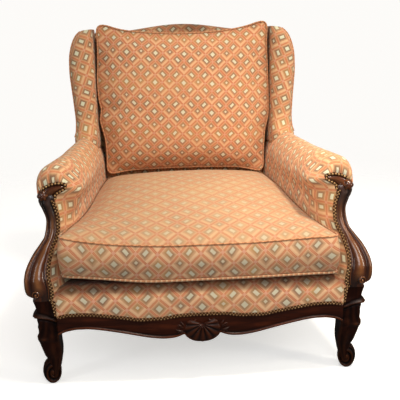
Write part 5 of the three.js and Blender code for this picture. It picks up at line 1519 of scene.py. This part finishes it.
def front_leg():
    zs = np.concatenate([np.linspace(254.6, 120, 92), np.linspace(119, 18, 52)])
    nf, ns, nb = 34, 12, 10
    R, SH = [], []
    for z in zs:
        xo, xi, yf, d = float(l_out(z)), float(l_in(z)), float(l_front(z)), float(l_deep(z))
        w = xo - xi
        cr = lerp(9, 12, sm((150 - z) / 60))           # corner radius
        t = np.linspace(0, 1, nf)
        x = xi + w * t
        # rounded front corners
        k0 = np.clip(1 - (t * w) / cr, 0, 1)
        k1 = np.clip(1 - ((1 - t) * w) / cr, 0, 1)
        y = yf + cr * 0.75 * ((1 - np.sqrt(1 - k0**2)) + (1 - np.sqrt(1 - k1**2)))
        worn, dirt_and_shade = np.zeros(nf), np.zeros(nf)
        # the knee: a ring moulding that sweeps from the outer edge down to the inner side
        zr = 214 - 16 * (1 - t) ** 1.5
        m = np.exp(-((z - zr) / 3.6) ** 2)
        g1 = np.exp(-((z - zr - 8) / 3.4) ** 2)
        g2 = np.exp(-((z - zr + 8) / 3.2) ** 2)
        y = y - 4.2 * m + 2.6 * g1 + 2.2 * g2
        # the ring is painted lighter, wear and painted highlight; painted shade in the grooves either side
        worn += 0.45 * m
        dirt_and_shade += 0.7 * g1 + 0.6 * g2
        # acanthus below it: ribs that lean outwards and close at the lower boss
        leaf = float(sm((206 - z) / 12) * sm((z - 134) / 10))
        fan = (t - 0.62) * (1 + 0.5 * (z - 140) / 70)
        vein = np.cos(fan * 2 * PI * 2.6 + 0.05 * (z - 170))
        lobe = np.cos((z - 206) / 12.5 * PI + 2.2 * np.abs(t - 0.6)) * sm((np.abs(t - 0.62) - 0.10) / 0.2)
        y = y - leaf * (0.8 * vein + 0.7 * lobe) - leaf * 1.0
        # vein crowns lighter, wear and painted highlight; painted shade in the troughs
        worn += leaf * np.clip(vein * 0.16 + lobe * 0.1, 0, 1)
        dirt_and_shade += leaf * np.clip(-vein * 0.4 - lobe * 0.2, 0, 1)
        boss = math.exp(-((z - 144) / 5.0) ** 2)
        y = y - boss * 3.0 * np.exp(-((t - 0.75) / 0.25) ** 2)
        worn += 0.5 * boss * np.exp(-((t - 0.75) / 0.25) ** 2)
        # shin: a ridge runs down from the middle of the front
        shin = float(sm((132 - z) / 20))
        y = y - shin * 3.0 * np.exp(-((t - lerp(0.36, 0.44, shin)) / 0.16) ** 2)
        worn += shin * 0.30 * np.exp(-((t - 0.40) / 0.10) ** 2)
        # the front corners are painted lighter, as the boss and the shin ridge above: wear and painted highlight
        worn += 0.25 * (k0 > 0.5) + 0.15 * (k1 > 0.5)
        front = np.stack([x, y, np.full(nf, z)], -1)
        # sides and back
        u = np.linspace(0, 1, ns + 2)[1:-1]
        mo = float(np.exp(-((z - 214) / 3.6) ** 2)) * 3.4 - float(np.exp(-((z - 222) / 3.4) ** 2) + np.exp(-((z - 206) / 3.2) ** 2)) * 1.6
        so = 2.5 * np.sin(PI * u)
        leafside = leaf * 1.4 * np.cos(u * 2 * PI * 1.5 + (z - 206) / 12.5 * PI)
        outer = np.stack([xo + mo + so + leafside, lerp(y[-1], yf + d - 6, u), np.full(ns, z)], -1)
        tb = np.linspace(1, 0, nb)
        kb0 = np.clip(1 - (tb * w) / cr, 0, 1)
        kb1 = np.clip(1 - ((1 - tb) * w) / cr, 0, 1)
        yb = yf + d - cr * 0.7 * ((1 - np.sqrt(1 - kb0**2)) + (1 - np.sqrt(1 - kb1**2)))
        back = np.stack([xi + w * tb, yb, np.full(nb, z)], -1)
        inner = np.stack([np.full(ns, xi) - 1.0 * np.sin(PI * u) * float(sm((140 - z) / 20)), lerp(yb[-1], y[0], u), np.full(ns, z)], -1)
        R.append(np.concatenate([front, outer, back, inner]))
        s = np.zeros((nf + ns + nb + ns, 2))
        s[:nf, 0], s[:nf, 1] = np.clip(worn, 0, 1), np.clip(dirt_and_shade, 0, 1)
        # the ring's sides are painted lighter; painted shade on the back and the inner side
        s[nf:nf + ns, 0] = 0.5 * mo / 3.4 if mo > 0 else 0
        s[nf + ns:, 1] = 0.25
        SH.append(s)
    part = Part()
    ring_loft(part, np.array(R), np.array(SH))
    spiral_disc(part, (405.5, -341, 33.0), -18, 23.5, 35, 31, 1.75, 4.2, flat_z=0.0, wind=-1)
    return part


leg = front_leg()
for side, p in (("right", leg), ("left", leg.mirror())):
    o = p.obj("front_leg_carved_" + side, M_WOOD_LEG, merge=0.0)
    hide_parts("front_leg_" + side)


# ------------------------------------------------------------------ arm stumps
def arm_stump():
    zs = np.linspace(255.4, 519, 150)
    nf, ns, nb = 46, 10, 10
    R, SH = [], []
    for z in zs:
        xo, xi, yf, d = float(s_out(z)), float(s_in(z)), float(s_front(z)), float(s_deep(z))
        xo -= 11 * math.exp(-((z - 263) / 7.0) ** 2)     # the bulge rounds in above the knee
        xi -= 8 * float(sm((z - 490) / 18))              # and the top widens into the hook
        xo += 7.5 * math.exp(-((z - 484) / 24.0) ** 2)   # and out under the knob
        w = xo - xi
        t = np.linspace(0, 1, nf)
        x = xi + w * t
        low = float(sm((300 - z) / 34))       # below the bulge the profile closes into the scroll
        up = float(sm((z - 488) / 20))
        # profile across the front: fillet, round ridge, groove, outer ridge
        a, b, c = 0.12, 0.70, 0.76
        ridge = np.where((t > a) & (t < b), np.sin(PI * np.clip((t - a) / (b - a), 0, 1)) ** 0.8, 0)
        outer_r = np.where((t > c) & (t < 0.99), np.sin(PI * np.clip((t - c) / (0.99 - c), 0, 1)) ** 0.8, 0)
        groove = np.exp(-((t - (b + c) / 2) / 0.04) ** 2)
        g_in = np.exp(-((t - a) / 0.035) ** 2)
        swell = float(bump1(z, 322, 70))
        h = ridge * (5.0 + 4.0 * swell) + outer_r * (1.8 + 1.0 * swell) - groove * 1.3 - g_in * 1.0 + 0.6 * (t < a)
        h = h * (1 - 0.75 * low) * (1 - 0.7 * up) + low * 1.0
        cr = 7.0
        k0 = np.clip(1 - (t * w) / 3.5, 0, 1)
        k1 = np.clip(1 - ((1 - t) * w) / (cr + 5 * swell), 0, 1)
        y = yf + 1.5 - h + 3.5 * (1 - np.sqrt(1 - k0**2)) + (cr + 6 * swell) * (1 - np.sqrt(1 - k1**2))
        # ridge crowns and the inner edge painted lighter, wear and painted highlight
        worn = (ridge ** 4) * 0.72 + (outer_r ** 4) * 0.62 + 0.1 * (k0 > 0.4)
        shade = 0.72 * math.exp(-((z - 486) / 36.0) ** 2)
        # painted shade in the grooves and under the swell
        dirt_and_shade = groove * 0.45 + g_in * 0.5 + 0.6 * low * (t < 0.5)
        front = np.stack([x, y, np.full(nf, z)], -1)
        u = np.linspace(0, 1, ns + 2)[1:-1]
        outer = np.stack([xo + 1.0 * np.sin(PI * u) - 0.5, lerp(y[-1], yf + d - 3, u), np.full(ns, z)], -1)
        tb = np.linspace(1, 0, nb)
        kb = np.clip(1 - (np.minimum(tb, 1 - tb) * w) / 5, 0, 1)
        back = np.stack([xi + w * tb, yf + d - 4 * (1 - np.sqrt(1 - kb**2)), np.full(nb, z)], -1)
        inner = np.stack([np.full(ns, xi), lerp(yf + d - 4, y[0], u), np.full(ns, z)], -1)
        R.append(np.concatenate([front, outer, back, inner]))
        s = np.zeros((nf + 2 * ns + nb, 2))
        s[:nf, 0], s[:nf, 1] = np.clip(worn, 0, 1) * (1 - low) * (1 - up) * (1 - shade), np.clip(dirt_and_shade + shade, 0, 1)
        # painted shade on the back and the inner side
        s[nf + ns:, 1] = 0.3
        SH.append(s)
    part = Part()
    ring_loft(part, np.array(R), np.array(SH))
    # hook running inwards over the front of the arm, beaked at its tip
    hp = np.array([[402, 503], [396, 510], [388, 517], [377, 523.5], [365, 529], [354, 532.4], [346, 534.0], [341, 534.4], [338.6, 534.4]], float)
    kk = np.linspace(0, len(hp) - 1, 44)
    i0 = np.arange(len(hp))
    pz = curve(np.stack([i0, hp[:, 1]], 1))
    hx, hz = np.interp(kk, i0, hp[:, 0]), pz(kk)
    hr = np.interp(kk, i0, [12.5, 13.5, 14.8, 14.6, 11.4, 8.8, 7.4, 5.6, 1.5])
    hd = np.interp(kk, i0, [17, 17, 17, 17, 17, 16.5, 16, 14, 7])
    tx, tz = np.gradient(hx), np.gradient(hz)
    ln = np.hypot(tx, tz)
    nx_, nz_ = -tz / ln, tx / ln
    if nz_[5] < 0:
        nx_, nz_ = -nx_, -nz_
    m = 40
    a = np.linspace(0, 2 * PI, m + 1)[:-1]
    ca, sa = np.cos(a), np.sin(a)
    HR, HS = [], []
    for i in range(len(kk)):
        # v across the hook, y through it; a raised band along the middle of the front
        v = hr[i] * np.sign(sa) * np.abs(sa) ** 0.85
        yy = -hd[i] * np.sign(ca) * np.abs(ca) ** 0.55
        frontal = np.clip(ca, 0, 1)
        vv = v / hr[i]
        band = np.exp(-((vv + 0.05) / 0.42) ** 2) * frontal * 3.2 - np.exp(-((np.abs(vv) - 0.72) / 0.12) ** 2) * frontal * 1.4
        fade = 0.55 * (1 - (i / (len(kk) - 1)) ** 6)
        yy = yy - band * fade
        HR.append(np.stack([hx[i] + nx_[i] * v, -306 + yy, hz[i] + nz_[i] * v], -1))
        # the raised band painted lighter, wear and painted highlight; painted shade in the grooves beside it
        HS.append(np.stack([np.clip(np.exp(-((vv + 0.05) / 0.3) ** 2) * frontal * 0.3, 0, 1), np.exp(-((np.abs(vv) - 0.72) / 0.15) ** 2) * frontal * 0.4], -1))
    ring_loft(part, np.array(HR), np.array(HS))
    # carved knob on the outer end: a bud with lobes
    nu, nv = 48, 20
    U, Vv = np.meshgrid(np.linspace(0, 2 * PI, nu + 1), np.linspace(0, PI, nv + 1), indexing="ij")
    lob = 1 + 0.10 * np.cos(6 * U + 1.2 * np.cos(Vv)) * np.sin(Vv) ** 1.5
    kx, ky, kz = 13.0, 13.5, 14.0
    X = 394.0 + kx * lob * np.sin(Vv) * np.cos(U)
    Z = 515.0 + kz * lob * np.sin(Vv) * np.sin(U)
    Y = -323.5 - ky * np.cos(Vv) * (1 + 0.10 * np.cos(5 * U) * np.sin(Vv))
    w_ = np.clip((lob - 1) / 0.10, 0, 1)
    # lobe crowns painted lighter except on the back, wear and painted highlight; painted shade between the lobes
    part.grid(np.stack([X, Y, Z], -1), None, np.stack([0.35 * w_ * (Vv < 2.0), 0.9 * np.clip(-(lob - 1) / 0.10, 0, 1)], -1))
    # snail scroll that ends the swelling on its inner side
    spiral_disc(part, (416.0, -395.0, 276.5), 8, 10.5, 11.5, 10, 1.1, 3.4, wind=-1, eye=0.30, sides=44)
    # inner bead that runs down beside the nails and turns into the scroll, painted lighter: wear and painted highlight
    zz = np.linspace(470, 262, 60)
    bx = s_in(zz) + 4.0 + 2.0 * sm((300 - zz) / 30)
    by = s_front(zz) - 0.2
    tube(part, np.stack([bx, by, zz], -1), np.interp(zz, [262, 280, 440, 470], [0.8, 1.7, 1.6, 0.6]), 8, SH=(0.25, 0.0))
    return part


stump = arm_stump()
for side, p in (("right", stump), ("left", stump.mirror())):
    o = p.obj("arm_stump_carved_" + side, M_WOOD, merge=0.0)
    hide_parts("arm_stump_" + side)


# ------------------------------------------------------------------ side rails
def side_rail():
    ys = np.linspace(-324.3, 312.8, 90)
    R, SH = [], []
    for y in ys:
        t = (y + 324.5) / 637.5
        x = float(rail_x(y))
        zb = 166 - 9 * math.exp(-(((t - 0.5) / 0.22) ** 2))
        a = np.linspace(-0.95, 1, 11) * PI / 2
        bead = np.stack([x + 19 + 2.6 * np.cos(a), zb + 5 + 5 * np.sin(a)], -1)
        zf = np.linspace(zb + 11.5, 196, 7)
        fld = np.stack([x + 17.6 + 1.6 * np.sin(PI * np.linspace(0, 1, 7)), zf], -1)
        P = np.concatenate([[[x - 17, 166]], [[x + 4, 166]], [[x + 4, zb + 0.5]], bead, [[x + 17.2, zb + 10.6]], fld, [[x + 18.5, 198.5], [x + 15, 200], [x + 15, 236], [x - 17, 236]]])
        R.append(np.stack([P[:, 0], np.full(len(P), y), P[:, 1]], -1))
        s = np.zeros((len(P), 2))
        # bead painted lighter, wear and painted highlight; painted shade in the groove above it
        s[5:12, 0] = 0.6
        s[14, 1] = 0.9
        SH.append(s)
    part = Part()
    ring_loft(part, np.array(R), np.array(SH))
    return part


sr_ = side_rail()
for side, p in (("right", sr_), ("left", sr_.mirror())):
    o = p.obj("side_rail_moulded_" + side, M_WOOD_Y, merge=0.0)
    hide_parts("side_rail_" + side)


# ------------------------------------------------------------------ antique nails
def spaced(path, pitch):
    path = np.asarray(path, float)
    s = np.concatenate([[0], np.cumsum(np.linalg.norm(np.diff(path, axis=0), axis=1))])
    n = max(2, int(round(s[-1] / pitch)))
    t = np.linspace(0, s[-1], n + 1)
    return np.stack([np.interp(t, s, path[:, k]) for k in range(3)], -1)


def nails(part, pts, normal, r=4.3, high=2.6, zig=0.0, seed=0, dim=0.0):
    """Domed heads: a flat rim, a round crown, each a little different."""
    pts = np.asarray(pts, float)
    normal = np.broadcast_to(np.asarray(normal, float), pts.shape)
    rng = np.random.RandomState(40 + seed)
    along = np.gradient(pts, axis=0)
    for i, (c, nn, al) in enumerate(zip(pts, normal, along)):
        nn = nn + rng.uniform(-0.10, 0.10, 3)
        nn = nn / np.linalg.norm(nn)
        a = al - nn * al.dot(nn)
        a /= np.linalg.norm(a)
        b = np.cross(nn, a)
        c = c + b * (zig * (1 if i % 2 else -1) + rng.uniform(-0.35, 0.35)) + a * rng.uniform(-0.3, 0.3)
        rr = r * rng.uniform(0.95, 1.04)
        q = np.array([0.0, 0.55, 0.88, 1.0, 0.98])
        h = np.array([1.0, 0.84, 0.46, 0.0, -0.5]) * high * rng.uniform(0.92, 1.08)
        th = np.linspace(0, 2 * PI, 10)
        P = c + (a * np.cos(th)[:, None, None] + b * np.sin(th)[:, None, None]) * (q * rr)[None, :, None] + nn * h[None, :, None]
        w = np.clip(np.array([0, 0, 0.15, 0.8, 1.0]) + dim * rng.uniform(0.6, 1.2), 0, 1)
        part.grid(P, None, np.stack([np.broadcast_to(w, (10, 5)), np.zeros((10, 5))], -1))


def row_pair(path, normal, gap=4.9, pitch=9.0):
    """Two staggered rows either side of a path."""
    p = spaced(path, pitch / 2)
    al = np.gradient(p, axis=0)
    nn = np.broadcast_to(np.asarray(normal, float), p.shape)
    b = np.cross(nn, al)
    b /= np.linalg.norm(b, axis=1)[:, None]
    sgn = np.where(np.arange(len(p)) % 2 == 0, 1.0, -1.0)
    return p + b * (sgn * gap / 2)[:, None]


def gimp_strip(part, path, normal, wide=10.5, thick=1.3):
    """Flat dark braid laid under the nails."""
    p = spaced(path, 6.0)
    al = np.gradient(p, axis=0)
    nn = np.broadcast_to(np.asarray(normal, float), p.shape)
    nn = nn / np.linalg.norm(nn, axis=1)[:, None]
    b = np.cross(nn, al)
    b /= np.linalg.norm(b, axis=1)[:, None]
    w, t = wide / 2, thick
    R = [p + b * x + nn * y for x, y in ((-w, -0.8), (-w, 0.3 * t), (-0.6 * w, 0.9 * t), (0, 0.7 * t), (0.6 * w, 0.9 * t), (w, 0.3 * t), (w, -0.8))]
    ring_loft(part, np.stack(R, 1), np.zeros((len(p), 7, 2)))


def nail_line():
    """Nails along the lower edge of the border, right half and left half."""
    xs = np.linspace(-366.5, 366.5, 400)
    return np.stack([xs, np.full(400, -396.4), nail_edge(np.abs(xs)) + 4.4], -1)


part = Part()
nails(part, row_pair(nail_line(), (0, -1, 0.05), 4.2, 8.6), (0, -1, 0.05), 2.5, 1.9, 0.0, 1, 0.34)
o = part.obj("antique_nails_front", M_BRASS, merge=0.0)
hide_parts("nail_trim_front")
part = Part()
gimp_strip(part, nail_line(), (0, -1, 0.05), 9.0)
o = part.obj("nail_braid_front", M_GIMP, merge=0.0)


def side_nails():
    z0 = np.linspace(214, 252, 12)
    leg_part = np.stack([np.full(12, 373.0) + 4.0 * sm((z0 - 214) / 40), np.full(12, -394.9), z0], -1)
    zw = np.linspace(258, 500, 120)
    stump_part = np.stack([np.maximum(arm_nail(zw) + 0.6, s_in(zw) - 3.0), s_front(zw) - 0.4, zw], -1)
    lo_edge = np.array([[364, -322.5, 505], [364.5, -322.5, 511], [361.5, -322.5, 516.5], [354, -322.5, 521.5], [345.5, -322.5, 525.8], [339, -322, 529.5]])
    tip = np.array([[335.2, -321.5, 534.5], [336.5, -321.5, 540.0], [342, -321.5, 543.8]])
    up_edge = np.array([[351, -321.5, 544.5], [362, -321.5, 544], [373, -321.5, 542], [383, -322, 538.2], [392, -322, 532.8]])
    return np.concatenate([leg_part, stump_part]), np.concatenate([lo_edge, tip, up_edge])


def outer_nails():
    z = np.linspace(262, 482, 120)
    path = np.stack([s_out(z) - 4.5, s_front(z) + s_deep(z) + 1.0, z], -1)
    p1 = spaced(path, 10.5)
    ys = np.linspace(-318, 345, 60)
    x = lerp(421, 362.5, np.minimum(1, (ys + 345) / 680)) + 2.4
    p2 = spaced(np.stack([x, ys, np.full(60, 206.0)], -1), 11.0)
    return p1, p2


sn, hn = side_nails()
on1, on2 = outer_nails()
part = Part()
nails(part, row_pair(sn, (0, -1, 0.05), 4.3, 8.8), (0, -1, 0.05), 2.7, 2.1, 0.0, 2, 0.18)
nails(part, spaced(hn, 8.2), (0, -1, 0.12), 3.1, 2.2, 0.2, 6)
nails(part, on1, (0.95, -0.25, 0), 4.0, 2.4, 0.3, 3)
nails(part, on2, (1, 0.08, 0), 4.2, 2.4, 0.3, 4)
for side, p in (("right", part), ("left", part.mirror())):
    o = p.obj("antique_nails_" + side, M_BRASS, merge=0.0)
    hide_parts("nail_trim_" + side)
part = Part()
gimp_strip(part, sn, (0, -1, 0.05), 9.2)
gimp_strip(part, hn + np.array([0, 5.0, 0]), (0, -1, 0.05), 8.0, 5.4)
for side, p in (("right", part), ("left", part.mirror())):
    o = p.obj("nail_braid_" + side, M_GIMP, merge=0.0)
part = Part()
xs = np.linspace(-350, 350, 80)
nails(part, spaced(np.stack([xs, post_y(209) + 18.5 + 5.6 + 0 * xs, np.full(80, 209.0)], -1), 11.0), (0, 1, 0), 4.2, 2.4, 0.3, 5)
o = part.obj("antique_nails_back", M_BRASS, merge=0.0)


# ------------------------------------------------------------------ underside cloth
def bottoming():
    n = 36
    S, T = np.meshgrid(np.linspace(-1, 1, n + 1), np.linspace(0, 1, n + 1), indexing="ij")
    y = lerp(-368, 340, T)
    w = rail_x(y) - 4.5
    # corners cut round the legs
    w = np.where(y < -323, np.minimum(w, 370.5), w)
    w = np.where(y > 312, np.minimum(w, 316.5), w)
    x = S * w
    sag = -4.0 * np.cos(S * PI / 2) * np.sin(PI * T) + 0.6 * wobble(x, y, 8.0)
    z = 162.4 + sag
    A = np.stack([x, y, z], -1)
    part = Part()
    part.grid(A, np.stack([x, y], -1) * MM)
    B = A - np.array([0, 0, 0.8])
    part.grid(B, np.stack([x, y], -1) * MM)
    a, b = rim(A), rim(B)
    part.grid(np.stack([np.concatenate([a, a[:1]]), np.concatenate([b, b[:1]])], 1))
    o = part.obj("bottoming_cambric", M_BLACK)
    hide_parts("bottoming_cloth")


bottoming()

dress(["rear_post_left", "rear_post_right"], M_WOOD)
dress(["crest_rail", "wing_top_rail_left", "wing_top_rail_right"], M_EDGE)
dress(["back_seat_rail"], M_STAIN)
dress(["back_tack_rail", "arm_rail_left", "arm_rail_right", "arm_tack_rail_left", "arm_tack_rail_right",
       "corner_block_front_left", "corner_block_front_right", "corner_block_rear_left", "corner_block_rear_right"], M_BEECH)
dress(["wing_post_left", "wing_post_right"], M_BEECH_Z)
dress(["seat_webbing", "back_webbing"], M_WEB)
dress(["spring_hessian"], M_HESSIAN)
dress(["seat_spring_%d" % i for i in range(1, 10)], M_STEEL)
